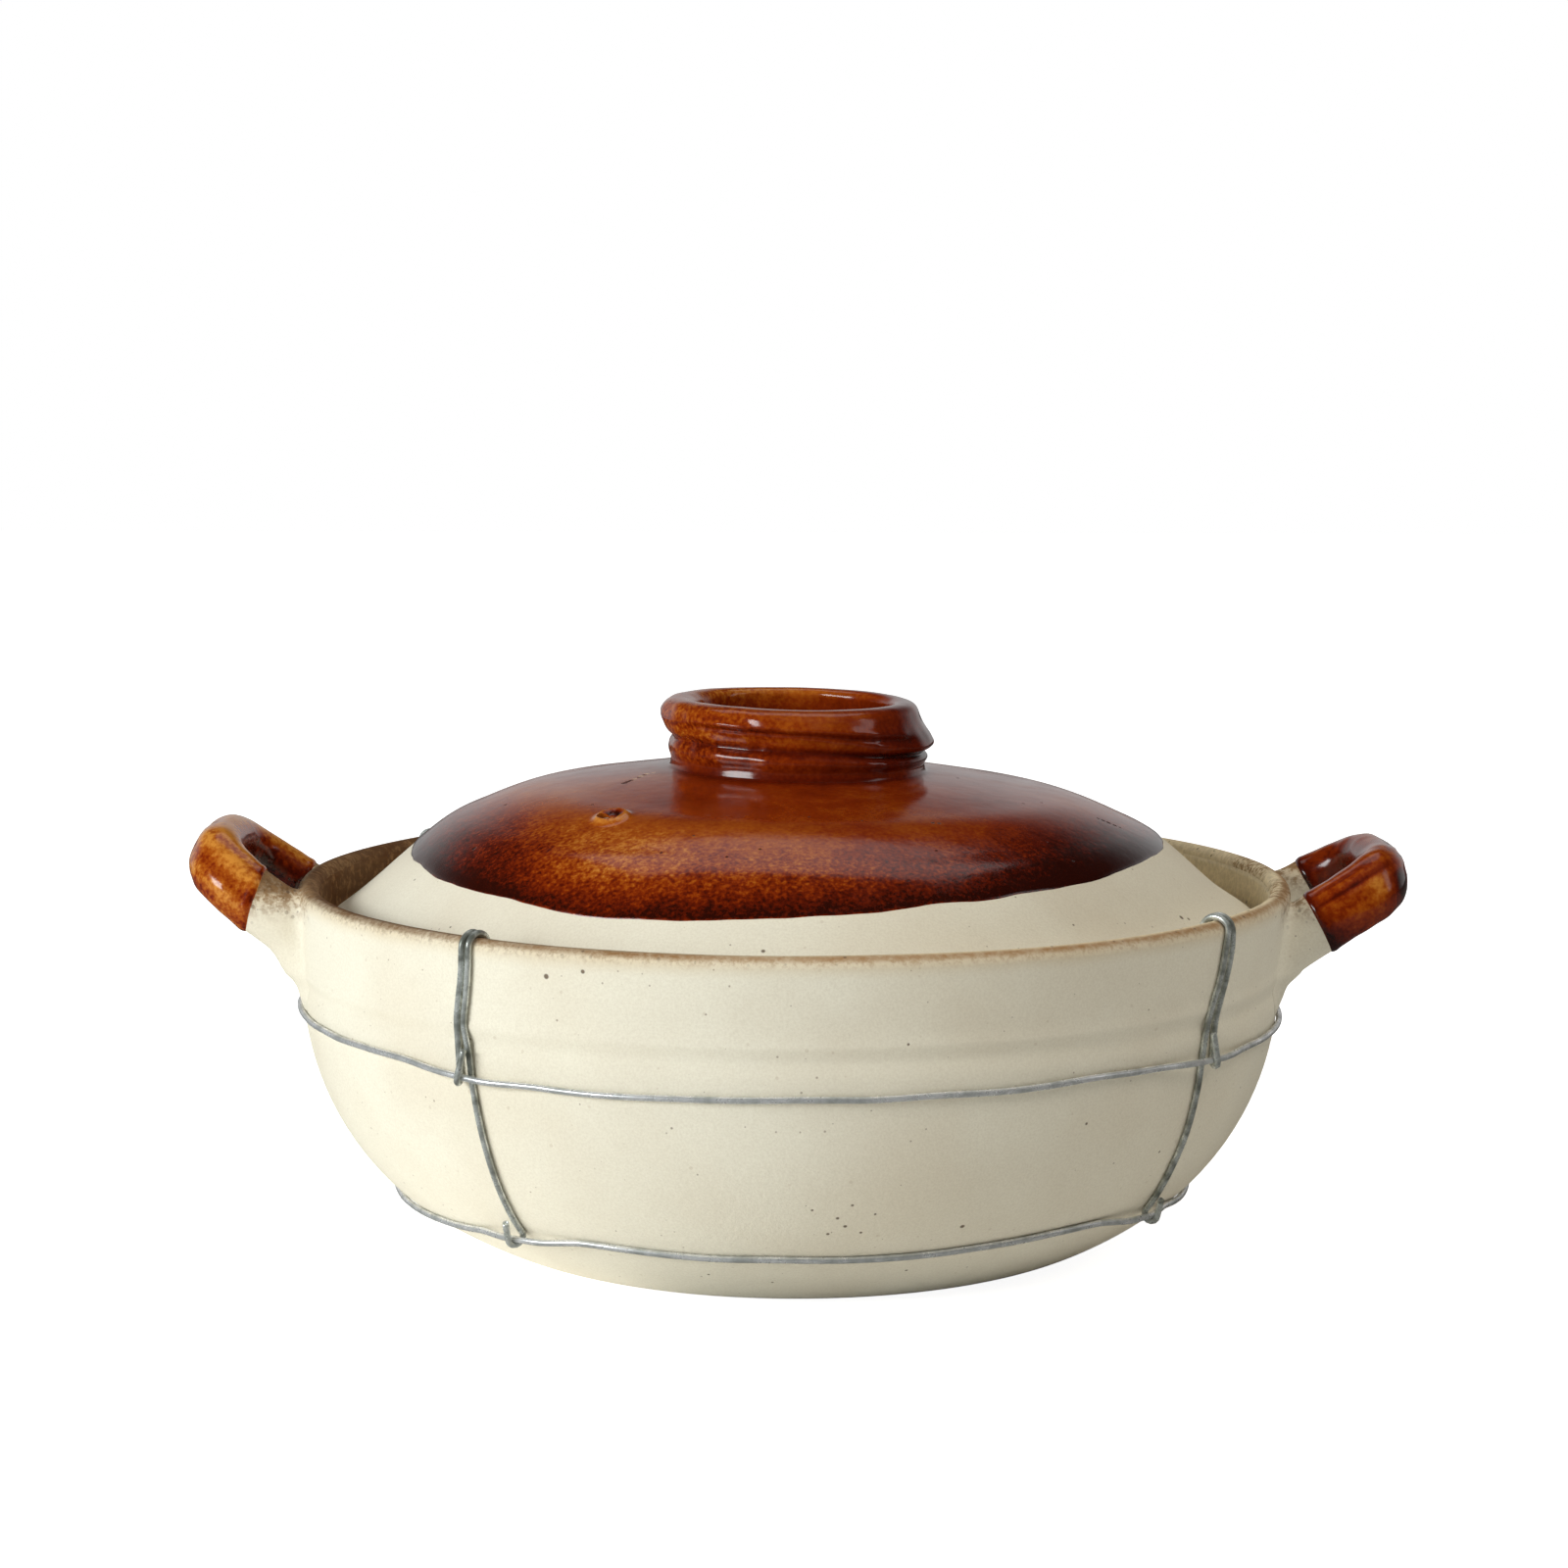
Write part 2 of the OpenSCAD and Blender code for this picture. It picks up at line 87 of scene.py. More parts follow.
KNOB_R = 32.4
KNOB_H = 16.1
CUP_R = 24.0
KNOB_SHARES = [(0, 0.92), (0.06, 0.975), (0.18, 1), (0.45, 1), (0.72, 0.95), (0.87, 0.84), (0.95, 0.71),
               (0.91, 0.585), (1, 0.46), (0.9, 0.37), (0.74, 0.31), (0.82, 0.2), (0.76, 0.04)]
KNOB_FOOT_R = CUP_R + 0.8 * (KNOB_R - CUP_R)

EAR_SPREAD = 21.5
EAR_LOOP_POWER = 3.8
EAR_STRAP_H = 14.8
EAR_STRAP_T = 11.6
EAR_ROOT_INSET = 1.6

WIRE_R = 0.75
WIRE_GAP = 0.03
HOOP_GAP = 0.1
TAIL_L = 6.5


# Curves

def around(r, azimuth, z):
    """Points at a radius, an azimuth in degrees and a height."""
    a = np.radians(azimuth)
    r, a, z = np.broadcast_arrays(r, a, z)
    return np.stack([r * np.sin(a), -r * np.cos(a), z], -1)


def from_axis(points):
    return np.hypot(points[:, 0], points[:, 1])


def azimuth_of(points):
    return np.degrees(np.arctan2(points[:, 0], -points[:, 1]))


def within_half_turn(azimuth):
    return (np.asarray(azimuth) + 180) % 360 - 180


def even_azimuths(segments):
    return np.arange(segments) * 360 / segments


def around_circle(sides):
    """Angles of the corners of a section, in radians."""
    return 2 * math.pi * np.arange(sides) / sides


def unit(v):
    return v / np.linalg.norm(v, axis=-1, keepdims=True)


def ease(x, low, high):
    """Smooth step from 0 at low to 1 at high."""
    t = np.clip((np.asarray(x, float) - low) / (high - low), 0, 1)
    return t * t * (3 - 2 * t)


def hump(x, middle, width):
    return np.exp(-((np.asarray(x, float) - middle) / width) ** 2)


def signed_power(x, p):
    return np.sign(x) * np.abs(x) ** p


def slope_of(height, x, reach):
    """Slope of a function at x, from its values at a reach to both sides."""
    return (height(x + reach) - height(x - reach)) / (2 * reach)


def lengths_along(line):
    """Length from the start of a line to each of its points."""
    return np.concatenate([[0], np.cumsum(np.linalg.norm(np.diff(line, axis=0), axis=1))])


def catmull_rom(points, steps, before=None):
    """Smooth curve through points; before is the point that sets the first slope."""
    p = np.asarray(points, float)
    first = 2 * p[0] - p[1] if before is None else np.asarray(before, float)
    q = np.vstack([first, p, 2 * p[-1] - p[-2]])
    t = (np.arange(steps) / steps)[:, None]
    parts = [
        (2 * b + (c - a) * t + (2 * a - 5 * b + 4 * c - d) * t**2 + (3 * b - a - 3 * c + d) * t**3) / 2
        for a, b, c, d in zip(q[:-3], q[1:-2], q[2:-1], q[3:])]
    return np.vstack(parts + [p[-1:]])


def on_curve(table, steps, x):
    """Height at x of the smooth curve through a table of (x, height)."""
    curve = catmull_rom(table, steps)
    return np.interp(x, curve[:, 0], curve[:, 1])


def resampled(line, step):
    """The line with points at an even distance of about step."""
    line = np.asarray(line, float)
    length = lengths_along(line)
    even = np.linspace(0, length[-1], max(2, int(round(length[-1] / step)) + 1))
    return np.stack([np.interp(even, length, line[:, k]) for k in range(line.shape[1])], -1)


def softened(line, sigma):
    """The line with its corners rounded off; sigma is counted in points, and the ends stay."""
    reach = int(3 * sigma) + 1
    weights = np.exp(-0.5 * (np.arange(-reach, reach + 1) / sigma) ** 2)
    weights /= weights.sum()
    head = 2 * line[0] - line[reach:0:-1]
    tail = 2 * line[-1] - line[-2:-reach - 2:-1]
    padded = np.vstack([head, line, tail])
    return np.stack([np.convolve(padded[:, k], weights, "valid") for k in range(line.shape[1])], -1)


def line_normals(line):
    """Unit normals of a line of (radius, height), to the left of its direction."""
    along = unit(np.gradient(line, axis=0))
    return np.stack([-along[:, 1], along[:, 0]], -1)


def ripple(points, wavelength, seed, waves=16):
    """Smooth random field over points, mostly between -1 and 1."""
    rng = np.random.default_rng(seed)
    directions = rng.normal(size=(waves, 3))
    directions /= np.linalg.norm(directions, axis=1)[:, None]
    numbers = 2 * math.pi / (wavelength * rng.uniform(0.7, 1.5, waves))
    phases = rng.uniform(0, 2 * math.pi, waves)
    field = np.cos(np.asarray(points) @ (directions * numbers[:, None]).T + phases)
    return field.sum(-1) * math.sqrt(0.5 / waves)


# Meshes

def grid_faces(rings, sides, closed=False):
    """Quads between rings of sides points; closed joins the last ring to the first."""
    i, k = np.meshgrid(np.arange(rings if closed else rings - 1), np.arange(sides), indexing="ij")
    j, after = (k + 1) % sides, (i + 1) % rings
    quads = np.stack([i * sides + k, i * sides + j, after * sides + j, after * sides + k], -1)
    return quads.reshape(-1, 4).tolist()


def ring_solid(rings, first, last):
    """Points and faces of rings, closed by a fan to the point first and one to the point last."""
    count, sides = rings.shape[:2]
    points = np.vstack([rings.reshape(-1, 3), [first], [last]])
    faces = grid_faces(count, sides)
    a, b, end = count * sides, count * sides + 1, (count - 1) * sides
    for k in range(sides):
        j = (k + 1) % sides
        faces.append([a, j, k])
        faces.append([b, end + k, end + j])
    return points, faces


def closed_tube(rings):
    """Points and faces of rings whose last one joins the first."""
    return rings.reshape(-1, 3), grid_faces(*rings.shape[:2], closed=True)


def turned(line, segments):
    """Rings of a line of (radius, height) turned about the axis."""
    return around(line[:, :1], even_azimuths(segments)[None, :], line[:, 1:])


def revolved(outline, segments):
    """Solid of an outline of (radius, height) that starts and ends on the axis."""
    outline = np.asarray(outline, float)
    return ring_solid(turned(outline[1:-1], segments), [0, 0, outline[0, 1]], [0, 0, outline[-1, 1]])


def new_object(name, points, faces):
    mesh = bpy.data.meshes.new(name)
    mesh.from_pydata((np.asarray(points) * MM).tolist(), [], faces)
    made = bpy.data.objects.new(name, mesh)
    bpy.context.scene.collection.objects.link(made)
    return made


def add_piece(name, points, faces, material, body, nodes, attributes=None):
    """New mesh piece that rides on a body and replaces CAD nodes."""
    piece = new_object(name, points, faces)
    mesh = piece.data
    for key, values in (attributes or {}).items():
        layer = mesh.attributes.new(key, "FLOAT", "POINT")
        layer.data.foreach_set("value", np.asarray(values, np.float32))
    surface = bmesh.new()
    surface.from_mesh(mesh)
    bmesh.ops.recalc_face_normals(surface, faces=surface.faces)
    surface.to_mesh(mesh)
    surface.free()
    mesh.polygons.foreach_set("use_smooth", [True] * len(mesh.polygons))
    mesh.materials.append(material)
    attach(piece, body)
    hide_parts(*nodes)
    return piece


WIRE_CAP_TURNS = np.radians([20, 50, 75])
WIRE_CAP_LENGTH = 0.8


def swept(path, radius, sides, first):
    """Round wire along a path, with rounded ends; first is a direction across its start."""
    path = np.asarray(path, float)
    along = unit(np.gradient(path, axis=0))
    across = np.asarray(first, float)
    turns = around_circle(sides)
    rings = []
    for i, (point, direction) in enumerate(zip(path, along)):
        across = unit(across - direction * (across @ direction))
        side = np.cross(direction, across)
        circle = np.cos(turns)[:, None] * across + np.sin(turns)[:, None] * side
        inward, caps = 0, np.array([math.pi / 2])
        if i == 0:
            inward, caps = 1, WIRE_CAP_TURNS
        elif i == len(path) - 1:
            inward, caps = -1, WIRE_CAP_TURNS[::-1]
        for share in np.sin(caps):
            shift = inward * radius * (1 - share) * WIRE_CAP_LENGTH
            rings.append(point + direction * shift + radius * share * circle)
    rings = np.array(rings)
    return ring_solid(rings, rings[0].mean(0), rings[-1].mean(0))


# The outlines of the bowl and the lid

def wall_r(z):
    """Outer radius of the wall at a height."""
    z = np.asarray(z, float)
    c = np.power(np.clip(1 - np.maximum(z, 0) / SHOULDER_Z, 0, 1), BELLY_HEIGHT_POWER / 2)
    belly = BASE_R + (SHOULDER_R - BASE_R) * np.power(np.sqrt(1 - c * c), 2 / BELLY_WIDTH_POWER)
    upper = SHOULDER_R + RIM_FLARE * np.clip((z - SHOULDER_Z) / (LIP_Z - SHOULDER_Z), 0, 1)
    return np.where(z >= SHOULDER_Z, upper, belly)


SEAT_WALL_R = wall_r(SEAT_Z) - WALL
LID_R = SEAT_WALL_R - LID_GAP
LIP_TURN_LIMIT = 1.4


def wall_point(azimuth, h, depth=0.0):
    """Point on the outside of the bowl, or at a depth below it; above the wall, h runs on round the lip."""
    turn = np.clip((h - LIP_Z) / LIP_R, 0, LIP_TURN_LIMIT)
    on_lip = h > LIP_Z
    r = np.where(on_lip, RIM_R - LIP_R + (LIP_R - depth) * np.cos(turn), wall_r(h) - depth)
    return around(r, azimuth, np.where(on_lip, LIP_Z + (LIP_R - depth) * np.sin(turn), h))


def belly_line(r0, r1, z0, z1, steps):
    a = np.radians(90 * np.linspace(0, 1, steps + 1))
    return np.stack([r0 + (r1 - r0) * np.sin(a) ** (2 / BELLY_WIDTH_POWER),
                     z0 + (z1 - z0) * (1 - np.cos(a) ** (2 / BELLY_HEIGHT_POWER))], -1)


def arc_line(centre, r, start, end, steps):
    a = np.radians(np.linspace(start, end, steps + 1))
    return np.stack([centre[0] + r * np.cos(a), centre[1] + r * np.sin(a)], -1)


def inner_wall_line(t):
    """Inside of the bowl from the lip to the middle of its floor, under a coat of thickness t."""
    corner = SEAT_CORNER_R
    edge_r = SEAT_WALL_R - SEAT_W - t
    down = np.array([[RIM_R - WALL - t, LIP_Z], [SEAT_WALL_R - t, SEAT_Z + t + corner]])
    ledge = np.array([[SEAT_WALL_R - t - corner, SEAT_Z + t], [edge_r + corner, SEAT_Z + t]])
    edge = arc_line((edge_r + corner, SEAT_Z + t - corner), corner, 90, 180, 4)
    drop = np.array([[edge_r, SEAT_Z - SEAT_T]])
    foot_r = wall_r(SEAT_FOOT_Z) - WALL - t
    belly = belly_line(BASE_R - WALL, foot_r, FLOOR_T + t, SEAT_FOOT_Z, 36)[::-1]
    floor = np.array([[r, FLOOR_T + t] for r in (30, 12, 0)])
    return down, ledge, edge, drop, belly, floor


def bowl_outline():
    """Outline of the bowl from the middle of its foot, up its outside and down its inside."""
    foot = np.array([[r, 0] for r in (0, 15, 35, 50, 57)])
    belly = resampled(belly_line(BASE_R, SHOULDER_R, 0, SHOULDER_Z, 64), 1.0)
    belly[:, 0] = np.maximum(belly[:, 0], BASE_R)
    wall_z = np.arange(SHOULDER_Z + 0.7, LIP_Z, 0.7)
    wall = np.stack([wall_r(wall_z), wall_z], -1)
    lip = arc_line((RIM_R - LIP_R, LIP_Z), LIP_R, 0, 180, 14)
    down, ledge, edge, drop, inside, floor = inner_wall_line(0)
    return np.vstack([foot, belly, wall, lip, resampled(down, 1.0)[1:], resampled(ledge, 1.5), edge, drop,
                      resampled(inside, 2.0), floor])


def lid_curve(r, rise, foot):
    points = [(s * r, foot + h * rise) for s, h in LID_SHARES]
    return catmull_rom(points, 14, before=(-points[1][0], points[1][1]))


LID_TOP = lid_curve(LID_R, LID_RISE, LID_CORNER_Z)


def lid_top_z(r):
    return np.interp(r, LID_TOP[:, 0], LID_TOP[:, 1])


# Hand-made unevenness, the same for every piece that it carries

BELLY_LEFT = 1.75
FOOT_SAG = 0.75
LID_SHIFT = 1.8
LID_TILT = math.tan(math.radians(1.16))
KNOB_SHIFT = -1.0
KNOB_DRIFT = 1.7
KNOB_SINK = 0.6
KNOB_TILT = math.tan(math.radians(1.74))
KNOB_FRONT_RISE = 1.4
# Creases and ridges of the knob on each side: how far out, at which share of its height, and how wide
KNOB_BANDS = {
    "outside": [(-0.5, 0.31, 0.05), (0.55, 0.585, 0.075), (0.35, 0.19, 0.08), (-0.45, 0.04, 0.05)],
    "front": [(-0.5, 0.575, 0.04), (-0.55, 0.585, 0.075), (0.35, 0.68, 0.06), (-1.6, 0.44, 0.12)],
    "right": [(0.9, 0.44, 0.11), (-1.1, 0.78, 0.16)]}


def outward(points):
    """Directions away from the pot's axis, shorter close to it."""
    return points[:, :2] / np.maximum(from_axis(points), 1)[:, None]


def body_drift(points):
    """Slight waves of the thrown bowl, and the fuller belly on its left."""
    z = points[:, 2]
    out = outward(points)
    moved = points.copy()
    wave = -0.12 * (1 + ripple(points, 140, 11)) * ease(z, 3, 12)
    moved[:, :2] += out * wave[:, None]
    left = ease(-out[:, 0], -0.1, 1.1) * (1 - ease(from_axis(points), 121, 129))
    moved[:, 0] -= BELLY_LEFT * left * ease(z, 2, 14) * (1 - ease(z, 68, 86))
    return moved


def bowl_hand(points):
    """The drift of the body, its ridge at the shoulder, its marks of throwing and its sag at the foot."""
    r, z = from_axis(points), points[:, 2]
    outside = ease(r - wall_r(z), -2.0, -0.5)
    ridge = 0.35 * hump(z, 67.8, 1.4) - 0.5 * hump(z, 64.6, 1.9)
    throwing = 0.015 * np.sin(z * 2.1 + 2 * ripple(points, 90, 5)) * ease(z, 6, 14)
    moved = body_drift(points)
    moved[:, :2] += outward(points) * ((ridge + throwing) * outside)[:, None]
    moved[:, 2] -= 0.12 * (1 + ripple(points, 60, 12)) * ease(z, 82, 87)
    moved[:, 2] -= np.minimum(FOOT_SAG * hump(r, 72, 10), z) * (z > 0) * (z < 12) * (r > BASE_R)
    return moved


def lid_hand(points, under=False):
    """The lid sits a little to the right and low on that side; its foot stays on the seat."""
    r = from_axis(points)
    weight = 1 - (ease(r, 84, 104) if under else ease(r, 97, 111))
    moved = points.copy()
    moved[:, 0] += LID_SHIFT * weight
    moved[:, 2] -= LID_TILT * points[:, 0] * weight
    moved[:, 2] += 0.18 * ripple(points, 70, 21) * weight
    return moved


def knob_height(points):
    return (points[:, 2] - CROWN_Z) / KNOB_H


def knob_hand(points):
    """Drift of the knob towards its top, the slant of its ridge, its flat right side and its lumps."""
    height = knob_height(points)
    r = from_axis(points)
    on_knob = ease(height, 0.0, 0.12) * ease(r, 15, 22)
    outside = ease(r, KNOB_R - 4.5, KNOB_R - 1.5)
    azimuth = azimuth_of(points)
    sides = {
        "outside": outside,
        "front": ease(azimuth, -62, -30) * (1 - ease(azimuth, 48, 72)) * outside,
        "right": ease(points[:, 0] / KNOB_R, 0.1, 0.9) * outside}
    moved = points.copy()
    near = 1 - ease(r, KNOB_R, KNOB_R + 10)
    moved[:, 0] += KNOB_SHIFT * near - KNOB_DRIFT * np.clip(height - 0.2, 0, 1) * on_knob
    moved[:, 2] -= KNOB_SINK * np.clip(height, 0, 1) * on_knob
    moved[:, 2] -= KNOB_TILT * points[:, 0] * hump(height, 0.5, 0.32) * on_knob
    moved[:, 2] += KNOB_FRONT_RISE * hump(height, 0.45, 0.3) * (1 - sides["right"]) * on_knob
    lumps = 0.26 * ripple(points * [1, 1, 1.6], 13, 23) + 0.1 * ripple(points, 5, 24)
    lumps = lumps * (1 - 0.4 * points[:, 0] / KNOB_R)
    for side, bands in KNOB_BANDS.items():
        for amount, middle, width in bands:
            lumps = lumps + amount * hump(height, middle, width) * sides[side]
    moved[:, :2] += outward(points) * (lumps * on_knob)[:, None]
    moved[:, 2] -= 0.15 * (1 + ripple(points, 30, 25)) * ease(height, 0.85, 0.98)
    return moved


def on_wall(marks):
    """Spots on the outside of the bowl, from (azimuth, height, radius)."""
    return [(around(wall_r(z), azimuth, z), size) for azimuth, z, size in marks]


def on_lid(marks):
    """Spots on top of the lid, moved as the lid is, from (azimuth, distance from the axis, radius)."""
    return [(lid_hand(around(r, azimuth, lid_top_z(r) + COAT_T)[None])[0], size)
            for azimuth, r, size in marks]


# Materials

class Nodes:
    """The shader nodes of a material or of the world. Sizes, radii and heights are in millimetres."""

    def __init__(self, tree, end, coordinates="Object"):
        self.tree = tree
        self.end = tree.nodes[end]
        self.place = self.add("TexCoord").outputs[coordinates]

    def put(self, socket, value):
        """Links an input to a value that is a socket, and sets it to any other."""
        if isinstance(value, bpy.types.NodeSocket):
            self.tree.links.new(value, socket)
        else:
            socket.default_value = value

    def add(self, kind, inputs=None, **settings):
        made = self.tree.nodes.new("ShaderNode" + kind)
        for key, value in settings.items():
            setattr(made, key, value)
        for key, value in (inputs or {}).items():
            self.put(made.inputs[key], value)
        return made

    def show(self, inputs):
        """Puts values into the shader at the end."""
        for key, value in inputs.items():
            self.put(self.end.inputs[key], value)

    def axis(self, name):
        return self.add("SeparateXYZ", {"Vector": self.place}).outputs[name]

    def ray(self, kind):
        return self.add("LightPath").outputs["Is " + kind + " Ray"]

    def attribute(self, name):
        return self.add("Attribute", attribute_name=name).outputs["Fac"]

    def vector(self, operation, a, b=None, output="Value"):
        inputs = {0: a} if b is None else {0: a, 1: b}
        return self.add("VectorMath", inputs, operation=operation).outputs[output]

    def away_from(self, point):
        return self.vector("DISTANCE", self.place, tuple(float(v) * MM for v in point))

    def away_from_axis(self):
        return self.vector("LENGTH", self.vector("MULTIPLY", self.place, (1.0, 1.0, 0.0), "Vector"))

    def calc(self, operation, value, *others):
        for other in others:
            value = self.add("Math", {0: value, 1: other}, operation=operation).outputs["Value"]
        return value

    times = partialmethod(calc, "MULTIPLY")
    plus = partialmethod(calc, "ADD")
    minus = partialmethod(calc, "SUBTRACT")
    larger = partialmethod(calc, "MAXIMUM")

    def remap(self, value, low, high, to_low=0.0, to_high=1.0, smooth=False):
        inputs = {"Value": value, "From Min": low, "From Max": high, "To Min": to_low, "To Max": to_high}
        kind = "SMOOTHSTEP" if smooth else "LINEAR"
        return self.add("MapRange", inputs, interpolation_type=kind).outputs["Result"]

    def over(self, length, low, high, to_low=0.0, to_high=1.0, smooth=True):
        """A length in the scene's metres, remapped between two millimetre values."""
        return self.remap(length, low * MM, high * MM, to_low, to_high, smooth)

    def noise(self, size, detail=2.0, rough=0.5, distortion=0.0):
        """Noise whose features are about size wide, from 0 to 1."""
        return self.add("TexNoise", {"Vector": self.place, "Scale": 1 / (size * MM), "Detail": detail,
                                     "Roughness": rough, "Distortion": distortion}).outputs["Fac"]

    def patches(self, size, low, high, to_low=0.0, to_high=1.0, detail=2.0, rough=0.5, distortion=0.0):
        """Noise remapped from its values low and high."""
        return self.remap(self.noise(size, detail, rough, distortion), low, high, to_low, to_high)

    def blend(self, factor, a, b):
        """Mix of two colours by a factor."""
        made = self.add("Mix", {0: factor}, data_type="RGBA")
        for index, colour in ((6, a), (7, b)):
            linked = isinstance(colour, bpy.types.NodeSocket)
            self.put(made.inputs[index], colour if linked else (*colour, 1.0))
        return made.outputs[2]

    def specks(self, size, radius, share):
        """Round specks of about a radius, in a share of the cells of a size; 1 inside a speck."""
        cell = self.add("TexVoronoi", {"Vector": self.place, "Scale": 1 / (size * MM)})
        parts = self.add("SeparateColor", {"Color": cell.outputs["Color"]})
        edge = self.times(parts.outputs["Red"], radius / size)
        inside = self.remap(self.minus(edge, cell.outputs["Distance"]), 0.0, 0.25 * radius / size)
        return self.times(inside, self.calc("LESS_THAN", parts.outputs["Green"], share))

    def spots(self, marks):
        """Single spots: marks are (point, radius); 1 inside a spot."""
        total = None
        for point, radius in marks:
            inside = self.over(self.away_from(point), radius, 0.55 * radius)
            total = inside if total is None else self.larger(total, inside)
        return total

    def bump(self, height, distance, strength):
        made = self.add("Bump", {"Height": height, "Distance": distance * MM, "Strength": strength})
        self.show({"Normal": made.outputs["Normal"]})


def new_material(name, roughness, specular, metallic=0.0):
    """New material, and its nodes."""
    material = bpy.data.materials.new(name)
    material.use_nodes = True
    n = Nodes(material.node_tree, "Principled BSDF")
    n.show({"Roughness": roughness, "Specular IOR Level": specular, "Metallic": metallic})
    return material, n


CREAM = (0.82, 0.775, 0.64)
CREAM_DARK = (0.76, 0.70, 0.565)
CREAM_WARM = (0.80, 0.68, 0.47)
CREAM_GRAIN = (0.50, 0.42, 0.30)
IRON = (0.12, 0.075, 0.045)
RUST = (0.36, 0.20, 0.085)
RUST_DARK = (0.17, 0.09, 0.038)
RUST_PALE = (0.60, 0.44, 0.23)
TOAST = (0.27, 0.155, 0.07)
# Wash tones: the left one is browner and painted dark as shade, the right one painted pale as lit.
WASH_RIGHT_PALE_PAINTED_LIT = (0.82, 0.69, 0.46)
WASH_LEFT_BROWN_AND_PAINTED_SHADE = (0.10, 0.036, 0.008)
WASH_CLOUD = (0.46, 0.36, 0.22)
WASH_GRIT = (0.13, 0.085, 0.05)
WASH_SPECK = (0.07, 0.04, 0.025)
PIT = (0.02, 0.006, 0.003)
CHIP = (0.62, 0.36, 0.17)
# Specks of the clay: size of a cell, radius, share of the cells, strength and colour
CLAY_SPECKS = [(3.1, 0.55, 0.4, 0.26, (0.46, 0.36, 0.24)), (1.7, 0.32, 0.14, 0.6, (0.24, 0.17, 0.11))]
# Heights between which the marks of the fire come in below the lip
STAIN_Z = (86.3, 87.5)
HALO_Z = (82.5, 87.0)
DUST_Z = (84.6, 87.0)
SOOT_Z = (85.6, 87.6)
TOAST_Z = (79, 87)
ROOT_SOOT_Z = (78, 85)
EAR_ROOTS = [((side * 118, end * EAR_SPREAD, 80), 21) for side in (-1, 1) for end in (-1, 1)]

BOWL_SPOTS = on_wall([
    (-26.5, 81.5, 0.75), (-22.2, 83.25, 0.6), (5.2, 28.2, 0.5), (6.2, 26, 0.55), (8.2, 24.2, 0.45),
    (6.8, 31.5, 0.45), (9.6, 29, 0.4), (21, 24.2, 0.7), (4.2, 24, 0.5), (2.2, 30.4, 0.4),
    (-39, 70, 0.35), (34, 47, 0.45), (48, 36, 0.4), (-58, 74, 0.4), (12, 68.5, 0.4),
    (16, 12, 0.45), (-12, 11, 0.4), (-3, 9, 0.4)])
LID_SPOTS = on_lid([
    (-4.4, 102.4, 0.65), (-49, 104, 0.45), (28, 103, 0.4), (38, 98.5, 0.45), (60, 101.5, 0.8),
    (61.4, 102.4, 0.6), (-33, 107, 0.35), (9, 104, 0.35)])
GLAZE_PITS = on_lid([
    (-73, 73.5, 0.5), (-50.5, 63, 0.5), (-59.5, 88, 0.8), (-23, 80.5, 0.45), (-12, 80.5, 0.4),
    (-7, 77, 0.45), (27.4, 64.7, 0.55), (28.6, 65.2, 0.55), (31, 78, 0.4), (23, 77, 0.4),
    (1.5, 59.5, 0.45), (47, 84.5, 0.45), (62, 59, 0.45), (68.5, 61, 0.4), (82, 38, 0.5),
    (-19.5, 73, 0.4), (73, 73.5, 0.55), (73.3, 74.6, 0.75), (73.6, 75.8, 0.85), (74, 77.2, 0.75),
    (74.4, 78.4, 0.5), (-63.5, 47, 1), (-64.5, 45.8, 0.9), (-65.5, 44.6, 0.8), (-68, 41.9, 0.7),
    (-70.6, 39.9, 0.7)])
GLAZE_CHIPS = on_lid([(-66.6, 43.4, 0.7), (-69.4, 41, 0.9), (-71.9, 39, 0.9), (-72.2, 37.4, 0.7)])


def wash_colour(n):
    """Dull olive wash, browner on the left and painted much darker there as shade, painted pale on the lit
    right, cloudy and gritty, and how dark its specks are.
    """
    # Painted light and shade: the left inner wall, turned from the key, is painted dark and the lit right
    # pale, on top of the left's browner tone.
    left = n.over(n.axis("X"), -105, 40, 1.0, 0.0)
    colour = n.blend(left, WASH_RIGHT_PALE_PAINTED_LIT, WASH_LEFT_BROWN_AND_PAINTED_SHADE)
    cloud = n.patches(22, 0.38, 0.66, detail=4, rough=0.6)
    colour = n.blend(n.times(cloud, 0.09), colour, WASH_CLOUD)
    grit = n.patches(1.3, 0.4, 0.62, 0.24, 0.0, detail=4, rough=0.7)
    colour = n.blend(grit, colour, WASH_GRIT)
    ochre = n.patches(2.3, 0.5, 0.64, detail=5, rough=0.72)
    ochre = n.times(ochre, n.remap(left, 0.3, 1.0, 0.0, 0.5))
    colour = n.blend(ochre, colour, RUST)
    dark = n.times(n.specks(2.4, 0.7, 0.3), 0.65)
    return n.blend(dark, colour, WASH_SPECK), dark


def lip_stain(n, height, colour):
    """Brown line that the fire leaves on the lip, with the wash of the inside over its inner half."""
    patch = n.patches(26, 0.36, 0.62, 0.75, 1.05)
    worn = n.patches(1.6, 0.36, 0.6, 0.6, 1.0, detail=4, rough=0.7)
    stain = n.times(n.over(height, *STAIN_Z), worn, patch)
    halo = n.over(height, *HALO_Z, 0.0, 0.45)
    dust = n.times(n.over(height, *DUST_Z, 0.0, 0.5), n.patches(1.2, 0.47, 0.6, detail=5, rough=0.75))
    colour = n.blend(n.times(halo, patch), colour, RUST_PALE)
    rust = n.blend(n.over(n.axis("X"), -100, 0.0, 1.0, 0.0, smooth=False), RUST, RUST_DARK)
    colour = n.blend(dust, colour, rust)
    colour = n.blend(stain, colour, rust)
    wash, _ = wash_colour(n)
    inner = n.times(n.over(n.away_from_axis(), 118.6, 117.2), n.over(height, 83.5, 84.5, smooth=False))
    return n.blend(inner, colour, wash)


